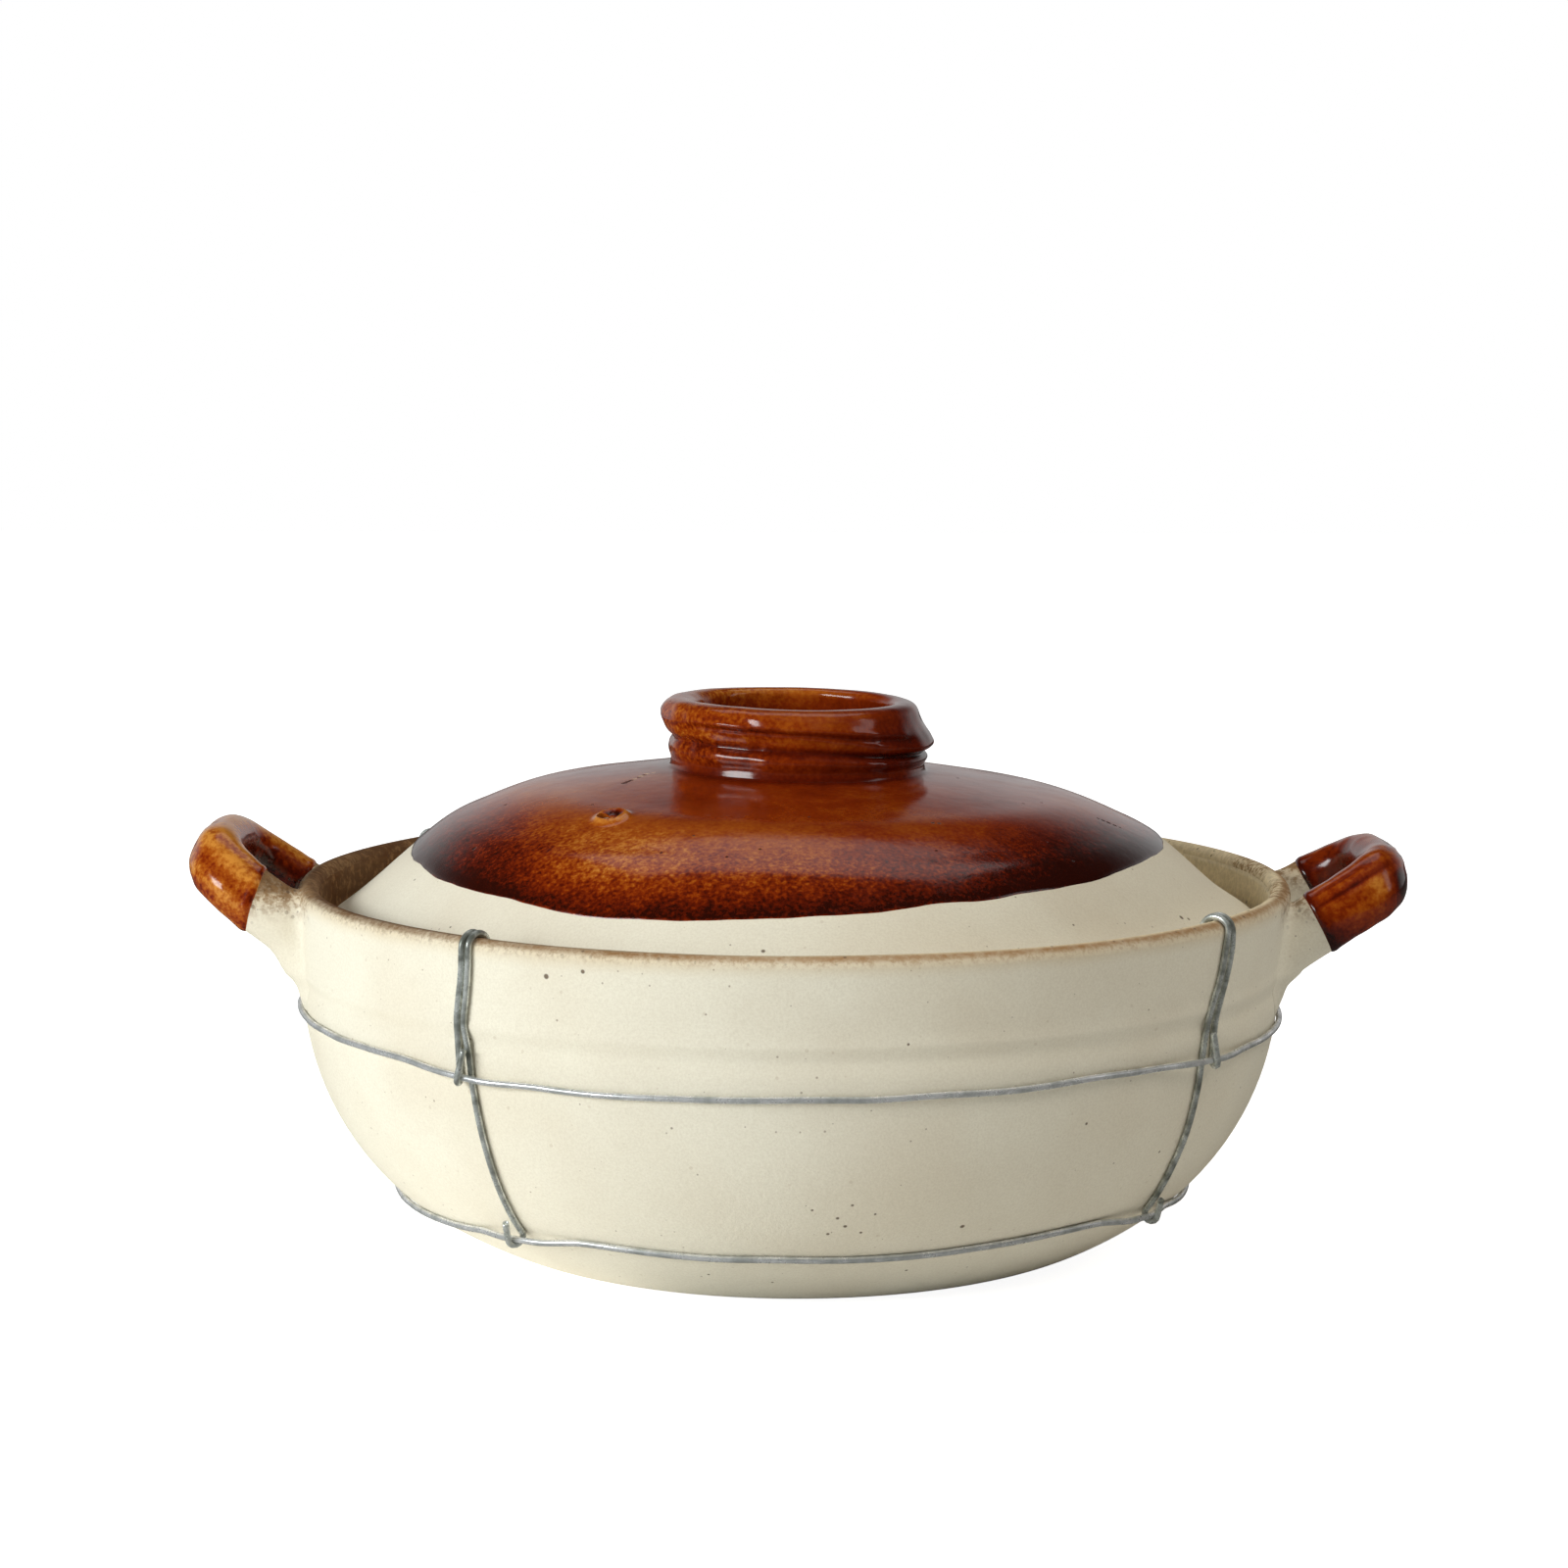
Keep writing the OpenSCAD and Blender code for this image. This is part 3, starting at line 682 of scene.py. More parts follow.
def clay_material(name, spots, lip):
    """Unglazed cream stoneware: cloudy, with iron specks and fine grain; lip adds the marks of the fire."""
    material, n = new_material(name, 0.86, 0.28)
    height = n.axis("Z")
    colour = n.blend(n.patches(42, 0.42, 0.68, detail=3), CREAM, CREAM_DARK)
    colour = n.blend(n.patches(75, 0.52, 0.72, 0.0, 0.12), colour, CREAM_WARM)
    grain = n.noise(0.55, 3, 0.65)
    colour = n.blend(n.remap(grain, 0.35, 0.62, 0.2, 0.0), colour, CREAM_GRAIN)
    for size, radius, share, strength, tone in CLAY_SPECKS:
        colour = n.blend(n.times(n.specks(size, radius, share), strength), colour, tone)
    dark = n.larger(n.times(n.specks(6.3, 0.5, 0.2), 0.75), n.spots(spots))
    if lip:
        colour = lip_stain(n, height, colour)
        near_ear = n.spots(EAR_ROOTS)
        mottle = n.patches(1.5, 0.44, 0.58, 0.15, 1.0, detail=5, rough=0.7)
        toast = n.times(near_ear, n.over(height, *TOAST_Z), mottle, 0.95)
        colour = n.blend(toast, colour, TOAST)
        sooty = n.larger(n.over(height, *SOOT_Z, smooth=False),
                         n.times(near_ear, n.over(height, *ROOT_SOOT_Z, smooth=False)))
        dark = n.larger(dark, n.times(n.specks(1.6, 0.6, 0.5), sooty, 0.75))
    n.show({"Base Color": n.blend(n.times(dark, 0.88), colour, IRON)})
    relief = n.plus(n.times(grain, 0.6), n.times(n.noise(2.0, 3, 0.6), 0.9))
    n.bump(n.minus(relief, n.times(dark, 0.5)), 0.15, 0.6)
    return material


# Colours of the glaze from thick to thin, at values of its ramp
GLAZE_STOPS = [
    (0.16, (0.026, 0.0030, 0.0010)), (0.36, (0.105, 0.0080, 0.0010)), (0.50, (0.215, 0.0240, 0.0015)),
    (0.64, (0.35, 0.075, 0.005)), (0.84, (0.60, 0.235, 0.035))]


def glaze_material(name, fine, coarse, base, pits_here=(), chips=()):
    """Glossy amber glaze, mottled by its thickness: dark where it pools, honey where it is thin.

    The pooling attribute is how much glaze lies there, raised further where shade is painted in, and grain
    how strongly it is speckled. fine and coarse are the sizes of its mottles, base is how thin it is, and
    chips are places where it came off.
    """
    material, n = new_material(name, 0.15, 0.5)
    glaze_pool_and_shade, grain = n.attribute("glaze_pool_and_shade"), n.attribute("grain")
    small = n.patches(fine, 0.28, 0.72, -0.5, 0.5, detail=3, rough=0.6)
    middle = n.patches(4.5 * fine, 0.28, 0.72, -0.5, 0.5, detail=3, rough=0.6, distortion=0.6)
    large = n.patches(coarse, 0.3, 0.7, -0.5, 0.5, detail=3)
    value = n.plus(n.times(small, n.remap(grain, 0.0, 1.0, 0.04, 0.36)),
                   n.times(middle, n.remap(grain, 0.0, 1.0, 0.05, 0.14)), n.times(large, 0.18))
    value = n.plus(n.minus(value, n.times(glaze_pool_and_shade, 0.34)), base)
    ramp = n.add("ValToRGB", {"Fac": value})
    stops = ramp.color_ramp.elements
    while len(stops) < len(GLAZE_STOPS):
        stops.new(0.5)
    for stop, (position, colour) in zip(stops, GLAZE_STOPS):
        stop.position = position
        stop.color = (*colour, 1.0)
    pits = n.specks(9.0, 0.6, 0.3)
    if pits_here:
        pits = n.larger(pits, n.spots(pits_here))
    colour = n.blend(n.times(pits, 0.85), ramp.outputs["Color"], PIT)
    if chips:
        colour = n.blend(n.times(n.spots(chips), 0.9), colour, CHIP)
    rough = n.plus(n.patches(6, 0.35, 0.7, 0.12, 0.19, detail=3), n.times(pits, 0.4))
    n.show({"Base Color": colour, "Roughness": rough})
    tooth = n.times(small, n.remap(grain, 0.0, 1.0, 0.02, 0.14))
    n.bump(n.minus(n.plus(n.times(n.noise(3.2), 0.5), tooth), n.times(pits, 0.9)), 0.16, 0.45)
    return material


def lining_material(name):
    """Thin dull wash on the inside of the bowl."""
    material, n = new_material(name, 0.75, 0.08)
    colour, dark = wash_colour(n)
    n.show({"Base Color": colour})
    n.bump(n.minus(n.noise(1.6, 4, 0.65), dark), 0.22, 0.6)
    return material


def wire_material(name, pale, dark):
    """Galvanized wire: zinc grey, dull in patches, darker where it was drawn and bent."""
    material, n = new_material(name, 0.32, 0.5, 0.6)
    patch = n.patches(5, 0.42, 0.66, detail=4, rough=0.6)
    colour = n.blend(patch, pale, dark)
    colour = n.blend(n.patches(0.9, 0.42, 0.62, 0.0, 0.3, detail=3, rough=0.7), colour, dark)
    n.show({"Base Color": colour, "Roughness": n.remap(patch, 0.0, 1.0, 0.25, 0.38)})
    n.bump(n.noise(0.7, 3, 0.6), 0.05, 0.4)
    return material


clay = clay_material("clay_bowl", BOWL_SPOTS, lip=True)
lid_clay = clay_material("clay_lid", LID_SPOTS, lip=False)
lining_finish = lining_material("olive_lining")
lid_glaze = glaze_material("amber_lid", 1.05, 38, 0.61, GLAZE_PITS, GLAZE_CHIPS)
# Lit and shaded copies of one glaze: the right ear's darker base is painted shade, the left ear's paler one
# painted light.
ear_glaze = {"left": glaze_material("amber_left_ear_painted_lit", 1.2, 16, 0.87),
             "right": glaze_material("amber_right_ear_painted_shade", 1.2, 16, 0.55)}
stay_zinc = wire_material("zinc_stays", (0.78, 0.82, 0.79), (0.22, 0.235, 0.205))
# Same zinc as the stays, painted paler for the top light that the level hoops catch.
hoop_zinc_painted_lit = wire_material("zinc_hoops_painted_lit", (0.84, 0.85, 0.86), (0.50, 0.52, 0.51))


# The bowl and its lining

BOWL_SEGMENTS = 400
LINING_SEGMENTS = 300
COAT_DEPTH = 0.25

points, faces = revolved(bowl_outline(), BOWL_SEGMENTS)
add_piece("bowl", bowl_hand(points), faces, clay, "pot", ["pot_bowl"])


def lining_outline():
    """The lining from the middle of the floor up to its edge under the lip, and back below itself."""
    down, ledge, edge, drop, inside, floor = inner_wall_line(COAT_T)
    down = np.array([[RIM_R - WALL - COAT_T * 0.5, LIP_Z], *down[1:]])
    face = np.vstack([resampled(down, 1.2), resampled(ledge, 1.6), edge, drop, resampled(inside, 2.4), floor])
    down, ledge, edge, drop, inside, floor = inner_wall_line(-0.15)
    return np.vstack([face[::-1], resampled(down, 3), ledge, edge, drop, resampled(inside, 6), floor])


points, faces = revolved(lining_outline(), LINING_SEGMENTS)
add_piece("bowl_lining", bowl_hand(points), faces, lining_finish, "pot", ["bowl_glaze"])


# The lid, its knob and their glaze

LID_SEGMENTS = 480
KNOB_SEGMENTS = 240
# Azimuth and radius of points on the edge of the lid's glaze
GLAZE_EDGE = [
    (-180, 91), (-150, 92.8), (-120, 93.8), (-90, 94.2), (-60, 96), (-48, 96.5), (-38, 97.3), (-30, 97.9),
    (-20, 97.2), (-10, 96.4), (-2, 95.1), (4, 94.6), (8, 94), (14, 93.1), (22, 92), (40, 90.4), (60, 88.6),
    (80, 87.7), (110, 87.6), (150, 89), (180, 91)]
POOL_SCALE = 1.9
# The dome's glaze has rings far apart up to this share of the way to its edge, and close ones after it
NEAR_EDGE = 0.93
DOME_RINGS = 96
EDGE_RINGS = 30
EDGE_BEAD = 0.04


def glaze_edge_r(azimuth):
    """Radius of the edge of the lid's glaze, with its small runs."""
    azimuth = within_half_turn(azimuth)
    r = on_curve(GLAZE_EDGE, 10, azimuth)
    spot = around(r, azimuth, 0.0)
    return r + 0.25 * ripple(spot, 22, 41) + 0.08 * ripple(spot, 7, 42)


def cut_vent(piece):
    """Cuts the steam vent through a piece of the lid."""
    turns = around_circle(VENT_SIDES)
    middle = around(VENT_R, VENT_AZ, 0.0)
    circle = middle + VENT_D / 2 * np.stack([np.cos(turns), np.sin(turns), 0 * turns], -1)
    low, high = np.array([0, 0, LID_FACE_Z]), np.array([0, 0, CROWN_Z + 5])
    cutter = new_object("vent_cutter", *ring_solid(
        np.stack([circle + low, circle + high]), middle + low, middle + high))
    cut = piece.modifiers.new("vent", "BOOLEAN")
    cut.operation = "DIFFERENCE"
    cut.solver = "EXACT"
    cut.object = cutter
    bpy.context.view_layer.update()
    result = bpy.data.meshes.new_from_object(piece.evaluated_get(bpy.context.evaluated_depsgraph_get()))
    piece.modifiers.remove(cut)
    bpy.data.objects.remove(cutter)
    piece.data = result


def lid_solid():
    """The clay of the lid: over its top, round its edge and back under its dome."""
    edge = np.array([[LID_R - 0.25, LID_CORNER_Z - 0.6], [LID_R - 0.6, LID_FACE_Z + 0.25],
                     [LID_R - 1.2, LID_FACE_Z]])
    top = np.vstack([resampled(LID_TOP, 1.0), edge])
    under_r = LID_R - LID_FOOT_W
    under = lid_curve(under_r, CROWN_Z - LID_T - LID_FACE_Z, LID_FACE_Z)[::-1]
    outline = np.vstack([top, [[under_r + 3, LID_FACE_Z]], resampled(under, 1.8)])
    points, faces = revolved(outline, LID_SEGMENTS)
    count = len(top) * LID_SEGMENTS
    return np.vstack([lid_hand(points[:count]), lid_hand(points[count:-2], under=True),
                      lid_hand(points[-2:])]), faces


def knob_clay_line():
    """The clay of the knob from its cup's floor, up the cup, over the lip and down to its foot."""
    outside = [(CUP_R + s * (KNOB_R - CUP_R), CROWN_Z + h * KNOB_H) for s, h in KNOB_SHARES]
    return np.vstack([[CUP_R, lid_top_z(CUP_R)], catmull_rom(outside, 12, before=outside[0])])


def knob_solid():
    """The clay ring of the knob, sunk into the lid, as a closed outline turned about the axis."""
    line = resampled(knob_clay_line(), 0.8)
    foot = [[KNOB_FOOT_R, lid_top_z(KNOB_FOOT_R) - 0.6], [CUP_R + 0.4, lid_top_z(CUP_R) - 0.6]]
    loop = np.vstack([line - line_normals(line) * -0.05, foot])
    return closed_tube(turned(loop, KNOB_SEGMENTS))


def lid_glaze_solid():
    """The glaze over cup, knob and dome, how much of it pools at its points, and which are on top."""
    floor_r = np.linspace(0.0, CUP_R, 14)
    tail_r = np.linspace(KNOB_FOOT_R, KNOB_FOOT_R + 9, 16)
    line = np.vstack([np.stack([floor_r, lid_top_z(floor_r)], -1)[:-1], knob_clay_line(),
                      np.stack([tail_r, lid_top_z(tail_r)], -1)])
    line = softened(resampled(line, 0.5), 1.0)
    normals = line_normals(line)
    coat = softened(line + normals * COAT_T, 1.2)
    knob_pool = ((softened(line, 5.0) - line) * normals).sum(1) / POOL_SCALE

    azimuths = even_azimuths(LID_SEGMENTS)[None, :]
    edge = glaze_edge_r(azimuths[0])[None, :]
    start = coat[-1, 0]
    shares = np.concatenate([np.linspace(0, NEAR_EDGE, DOME_RINGS)[1:],
                             NEAR_EDGE + (1 - NEAR_EDGE) * np.linspace(0, 1, EDGE_RINGS)[1:] ** 0.8])
    dome_r = start + (edge - start) * shares[:, None]
    gap = edge - dome_r
    thick = COAT_T * (1 - np.exp(-gap / 0.35)) + EDGE_BEAD * hump(gap, 1.5, 1.1) - 0.06 * np.exp(-gap / 0.2)
    dome_pool = 0.75 * np.exp(-gap / 2.6) + 0.75 * np.exp(-gap / 11.0) - 1.6 * np.exp(-gap / 0.22)
    below_r = start + (edge - start) * np.linspace(1, 0, 24)[:, None]
    under = softened(resampled(line - normals * COAT_DEPTH, 1.5), 0.8)[::-1][1:-1]
    slope = slope_of(lid_top_z, dome_r, 0.4)
    lean = 1 / np.sqrt(1 + slope**2)
    rings = np.concatenate([
        turned(coat[1:], LID_SEGMENTS),
        around(dome_r - slope * lean * thick, azimuths, lid_top_z(dome_r) + lean * thick),
        around(below_r, azimuths, lid_top_z(below_r) - COAT_DEPTH), turned(under, LID_SEGMENTS)])
    points, faces = ring_solid(rings, [0, 0, coat[0, 1]], [0, 0, line[0, 1] - COAT_DEPTH])

    glaze_pool_and_shade = np.zeros(rings.shape[:2])
    top_rings = len(coat) - 1 + len(dome_r)
    glaze_pool_and_shade[:len(coat) - 1] = knob_pool[1:, None]
    glaze_pool_and_shade[len(coat) - 1:top_rings] = dome_pool
    on_top = np.arange(len(points)) < top_rings * LID_SEGMENTS
    return points, faces, np.concatenate([glaze_pool_and_shade.reshape(-1), [0.3, 0.3]]), on_top


def lid_glaze_looks(points, glaze_pool_and_shade, vent_gap):
    """How much glaze pools at the points of the lid, with painted shade on the right of the knob and dome,
    and how strongly it is speckled.
    """
    r, azimuth = from_axis(points), azimuth_of(points)
    side = points[:, 0] / KNOB_R
    on_knob = ease(knob_height(points), 0.02, 0.15)
    grain = (0.15 + 0.85 * ease(r, 66, 84)) * (1 - on_knob)
    grain = grain + on_knob * (0.2 + 0.7 * ease(-side, -0.2, 0.8))
    glaze_pool_and_shade = glaze_pool_and_shade + 1.5 * hump(vent_gap, 1.8, 0.7) - 0.5 * hump(vent_gap, 3.4, 0.7)
    outer = ease(r, 62, 86)
    # Darker at the lower left of the outer dome, and on its right as painted shade.
    glaze_pool_and_shade = glaze_pool_and_shade + outer * (0.75 * hump(azimuth, -68, 24) + 0.9 * hump(azimuth, 52, 30))
    front = ease(r, 60, 74) * (1 - 0.6 * ease(r, 88, 94))
    glaze_pool_and_shade = glaze_pool_and_shade - 0.2 * hump(azimuth, -22, 30) * front
    glaze_pool_and_shade = glaze_pool_and_shade + 0.35 * (1 - ease(r, 48, 72)) * (1 - on_knob)
    # The knob's glaze is darker all round, and darker still on its right side as painted shade.
    glaze_pool_and_shade = glaze_pool_and_shade + on_knob * (0.5 + 0.45 * ease(side, 0.1, 0.9) * on_knob)
    return {"glaze_pool_and_shade": glaze_pool_and_shade, "grain": grain}


points, faces = lid_solid()
cut_vent(add_piece("lid", points, faces, lid_clay, "lid", ["lid_shell"]))

points, faces = knob_solid()
add_piece("knob", lid_hand(knob_hand(points)), faces, lid_clay, "lid", ["knob_ring"])

points, faces, glaze_pool_and_shade, on_top = lid_glaze_solid()
vent_gap = np.hypot(*(points[:, :2] - around(VENT_R, VENT_AZ, 0.0)[:2]).T)
looks = lid_glaze_looks(points, glaze_pool_and_shade, vent_gap)
points = lid_hand(knob_hand(points))
points[:, 2] += on_top * VENT_RING_H * hump(vent_gap, 3.1, 1.0)
cut_vent(add_piece("lid_glaze_coat", points, faces, lid_glaze, "lid", ["lid_glaze"], looks))


# The ears

EAR_SECTION_POWER = 2.25
EAR_SIDES = 56
EAR_TURNS = around_circle(EAR_SIDES)
EAR_ROOT_DEPTH = 1.2
STRAP_RINGS = 96
SLEEVE_RINGS = 130
CLAY_UNDER_GLAZE = 0.8
# drop, reach, rise, lift and lean place the loop, and roll turns the strap. The glaze starts at start and
# back_start, and by slant farther out on top. lines, sharp and smooth_below make the grooves. pooling and
# grain tint the glaze, dark (below, inside, below at both ends) is painted shade on it, and worn places are
# (point, radius, amount).
# front and back are the fillets of the roots, as sizes (on the wall, on the strap)
EARS = {
    "left": dict(
        sign=-1, drop=11.7, reach=23.6, rise=32.5, lift=2.1, lean=25, roll=17, start=10.2, back_start=7.4,
        slant=4, seed=31, lines=6.2, sharp=1.3, smooth_below=0, pooling=2.6, grain=0.8, dark=(0.5, 1.8, 0),
        worn=[], front=dict(low=(9.5, 12), high=(3.2, 4), side=(3, 4), full=0.3),
        back=dict(low=(6, 8), high=(6.5, 9), side=(3.5, 5), full=0)),
    "right": dict(
        sign=1, drop=14.1, reach=26, rise=35, lift=-2.6, lean=15, roll=8, start=8, back_start=12.6,
        slant=1.2, seed=47, lines=13, sharp=2.5, smooth_below=0.85, pooling=3.2, grain=0.4,
        dark=(0.3, 0.6, 0.9), worn=[((139.6, -25.5, 90.6), 3, 1.6), ((146.2, -17.5, 89), 3, -1.8)],
        front=dict(low=(7.5, 7), high=(4.2, 3), side=(3, 3), full=0.6),
        back=dict(low=(5, 6), high=(4.2, 8), side=(3, 4), full=0))}


def strap_middle(s, ear):
    """Middle of the strap at the turn s, from -90 at the front root to 90 at the back root."""
    s = np.radians(s)
    u = ear["reach"] * np.maximum(np.cos(s), 0) ** (2 / EAR_LOOP_POWER)
    y = EAR_SPREAD * signed_power(np.sin(s), 2 / EAR_LOOP_POWER)
    z = POT_H - ear["drop"] + u * math.tan(math.radians(ear["rise"])) + ear["lift"] * (u / ear["reach"]) ** 2
    return np.stack([SHOULDER_R - EAR_ROOT_INSET + u, y, z], -1)


def strap_along(s, ear):
    return unit(strap_middle(np.minimum(s + 0.5, 90), ear) - strap_middle(np.maximum(s - 0.5, -90), ear))


def turn_at(u, ear):
    """Turn at which the middle of the strap is u away from its root."""
    return math.degrees(math.acos((u / ear["reach"]) ** (EAR_LOOP_POWER / 2)))


def strap_rings(turns, ear, coat):
    """Rings of the strap's surface at the turns, under a coat, and how much glaze pools on them."""
    middle = strap_middle(turns, ear)
    share = np.clip((middle[:, 0] - SHOULDER_R + EAR_ROOT_INSET) / ear["reach"], 0, 1)
    along = strap_along(turns, ear)
    tip = np.radians(ear["rise"] + (ear["lean"] - ear["rise"]) * share**4)
    plumb = np.stack([-np.sin(tip), np.zeros_like(tip), np.cos(tip)], -1)
    up = unit(plumb - along * (along * plumb).sum(-1, keepdims=True))
    roll = ear["roll"] * ease(np.abs(turns), 15, 45) * ease(share, 0.15, 0.4)
    roll = np.radians(roll)[:, None]
    up = (up * np.cos(roll) + np.cross(up, along) * np.sin(roll))[:, None]
    side = np.cross(up, along[:, None])
    a = EAR_TURNS
    half_t, half_h = EAR_STRAP_T / 2, EAR_STRAP_H / 2
    flat = half_t * signed_power(np.cos(a), 2 / EAR_SECTION_POWER)[:, None]
    tall = half_h * signed_power(np.sin(a), 2 / EAR_SECTION_POWER)[:, None]
    surface = middle[:, None] + side * flat + up * tall
    out = unit(side * flat / half_t**2 + up * tall / half_h**2)
    seed = ear["seed"]
    on_loop = ease(share, 0.3, 0.6)[:, None]
    face = np.clip(-np.cos(a), 0, 1)[None, :] * on_loop
    wander = ripple(middle, 26, seed + 3)[:, None]
    grooves = (0.5 + 0.5 * np.cos(ear["lines"] * (a[None, :] - math.pi) + 0.8 * wander)) ** ear["sharp"]
    depth = 0.36 * face * (0.6 + 0.4 * ripple(middle, 18, seed + 4)[:, None]) * grooves
    depth = depth * (1 - ear["smooth_below"] * (1 - ease(np.sin(a), -0.2, 0.5))[None, :])
    lumps = 0.32 * ripple(surface, 17, seed) + 0.1 * ripple(surface, 6, seed + 1) - 0.1
    surface = surface + out * (coat + lumps * on_loop - depth)[..., None]
    return surface, ear["pooling"] * depth - 0.4 * lumps


def root_rings(ring, direction, fillet):
    """Rings from one of the strap to the wall, flared into it by a fillet, and on below its surface."""
    low, high = np.zeros(len(ring)), np.full(len(ring), 40.0)
    for _ in range(40):
        t = (low + high) / 2
        p = ring + direction * t[:, None]
        outside = from_axis(p) > wall_r(p[:, 2])
        low, high = np.where(outside, t, low), np.where(outside, high, t)
    foot = ring + direction * high[:, None]
    azimuth = azimuth_of(foot)
    a = np.radians(azimuth)
    off = foot - foot.mean(0)
    spread = unit(np.stack([off[:, 0] * np.cos(a) + off[:, 1] * np.sin(a), off[:, 2]], -1))
    below, above = np.clip(-spread[:, 1], 0, 1) ** 2, np.clip(spread[:, 1], 0, 1) ** 2
    on_wall_size, on_strap_size = (
        fillet["side"][k] + (fillet["low"][k] - fillet["side"][k]) * below
        + (fillet["high"][k] - fillet["side"][k]) * above for k in (0, 1))
    edge_az = azimuth + np.degrees(on_wall_size * spread[:, 0] / from_axis(foot))
    edge_h = foot[:, 2] + on_wall_size * spread[:, 1]
    start = foot - direction * np.minimum(on_strap_size, 0.9 * high)[:, None]
    edge = wall_point(edge_az, edge_h)
    corner = foot + fillet["full"] * below[:, None] * ((start + edge) / 2 - foot)
    rings = [start + (ring - start) * share for share in (0.67, 0.33)]
    rings += [(1 - q) ** 2 * start + 2 * q * (1 - q) * corner + q**2 * edge for q in np.linspace(0, 1, 11)]
    return np.array(rings + [wall_point(edge_az, edge_h, EAR_ROOT_DEPTH)])


def on_side(points, ear):
    """Points of an ear, made for the right, on its own side and moved as the bowl is."""
    return bowl_hand(points * [ear["sign"], 1, 1])


def strap_solid(ear):
    """The clay strap of an ear with both its roots."""
    first = -turn_at(ear["start"] - CLAY_UNDER_GLAZE, ear)
    last = turn_at(ear["back_start"] - CLAY_UNDER_GLAZE, ear)
    turns = np.sin(np.radians(90 * np.linspace(-1, 1, STRAP_RINGS)))
    turns = (first + last) / 2 + (last - first) / 2 * turns
    loop, _ = strap_rings(turns, ear, 0.0)
    front = root_rings(loop[0], -strap_along(turns[:1], ear)[0], ear["front"])
    back = root_rings(loop[-1], strap_along(turns[-1:], ear)[0], ear["back"])
    rings = np.concatenate([front[::-1], loop, back])
    return ring_solid(rings, rings[0].mean(0), rings[-1].mean(0))


def sleeve_solid(ear):
    """The coat of glaze over the loop of an ear, and how much glaze pools at its points, with painted shade
    under and inside the strap.
    """
    share = np.sin(np.radians(90 * np.linspace(-1, 1, SLEEVE_RINGS)))
    back = turn_at(ear["back_start"], ear)
    fronts = [turn_at(ear["start"] + ear["slant"] * (1 + math.sin(a)) / 2, ear) for a in EAR_TURNS]
    turns = [(back - front) / 2 + (back + front) / 2 * share for front in fronts]
    middle = strap_middle(turns[0], ear)
    lengths = lengths_along(middle)
    gap = np.minimum(lengths, lengths[-1] - lengths)
    wave = ripple(middle, 9, ear["seed"] + 7)
    thick = COAT_T * (1 - np.exp(-gap / 0.3)) + 0.15 * hump(gap, 1.2, 0.8) * (1 + 0.3 * wave)
    outer, inner = np.empty((SLEEVE_RINGS, EAR_SIDES, 3)), np.empty((SLEEVE_RINGS, EAR_SIDES, 3))
    glaze_pool_and_shade = np.empty((SLEEVE_RINGS, EAR_SIDES))
    for k in range(EAR_SIDES):
        rings, pools = strap_rings(turns[k], ear, thick[:, None] + 0.02)
        outer[:, k], glaze_pool_and_shade[:, k] = rings[:, k], pools[:, k]
        inner[:, k] = strap_rings(turns[k], ear, -COAT_DEPTH)[0][:, k]
    glaze_pool_and_shade = glaze_pool_and_shade + (0.9 * np.exp(-gap / 1.8) - 0.8 * np.exp(-gap / 0.15))[:, None]
    # Painted shade: the glaze is darkened under the strap, on its inner face and under both its ends.
    under, painted_shade_inside, painted_shade_under_ends = ear["dark"]
    below = np.clip(-np.sin(EAR_TURNS), 0, 1)
    glaze_pool_and_shade = glaze_pool_and_shade + under * below + painted_shade_inside * np.clip(np.cos(EAR_TURNS), 0, 1)
    glaze_pool_and_shade = glaze_pool_and_shade + painted_shade_under_ends * below * np.exp(-gap / 6.0)[:, None]
    for point, radius, depth in ear["worn"]:
        glaze_pool_and_shade -= depth * hump(np.linalg.norm(outer - point, axis=-1), 0, radius)
    sleeve = np.concatenate([outer, inner[::-1]])
    glaze_pool_and_shade = np.concatenate([glaze_pool_and_shade, np.zeros_like(glaze_pool_and_shade)]).reshape(-1)
    return *closed_tube(sleeve), glaze_pool_and_shade


for side, ear in EARS.items():
    points, faces = strap_solid(ear)
    add_piece(side + "_ear_strap", on_side(points, ear), faces, clay, "pot", [side + "_ear"])
    points, faces, glaze_pool_and_shade = sleeve_solid(ear)
    add_piece(side + "_ear_coat", on_side(points, ear), faces, ear_glaze[side], "pot",
              [side + "_ear_glaze"], {"glaze_pool_and_shade": glaze_pool_and_shade, "grain": np.full(len(glaze_pool_and_shade), ear["grain"])})


# The wire cage

WIRE_SIDES = 12
WIRE_STEP = 1.1
HOOP_STEPS = 8
# The closed end of a stay: half its width, the height where it begins, and its distance from the pot's axis
HAIRPIN_R = 0.85
HAIRPIN_Z = POT_H - 7
STRAND_R = 114
TWIST_L = 12.0
TWIST_PITCH = 7.0
TWIST_AZ = -171.6
TWIST_START = 1.6
LIFT_AZ = (1.6, 9.5)
ON_WALL = WIRE_GAP + WIRE_R
OVER_WIRE = WIRE_GAP + 2 * WIRE_R + HOOP_GAP + WIRE_R
HOOK_REACH = 2 * WIRE_R + HOOP_GAP
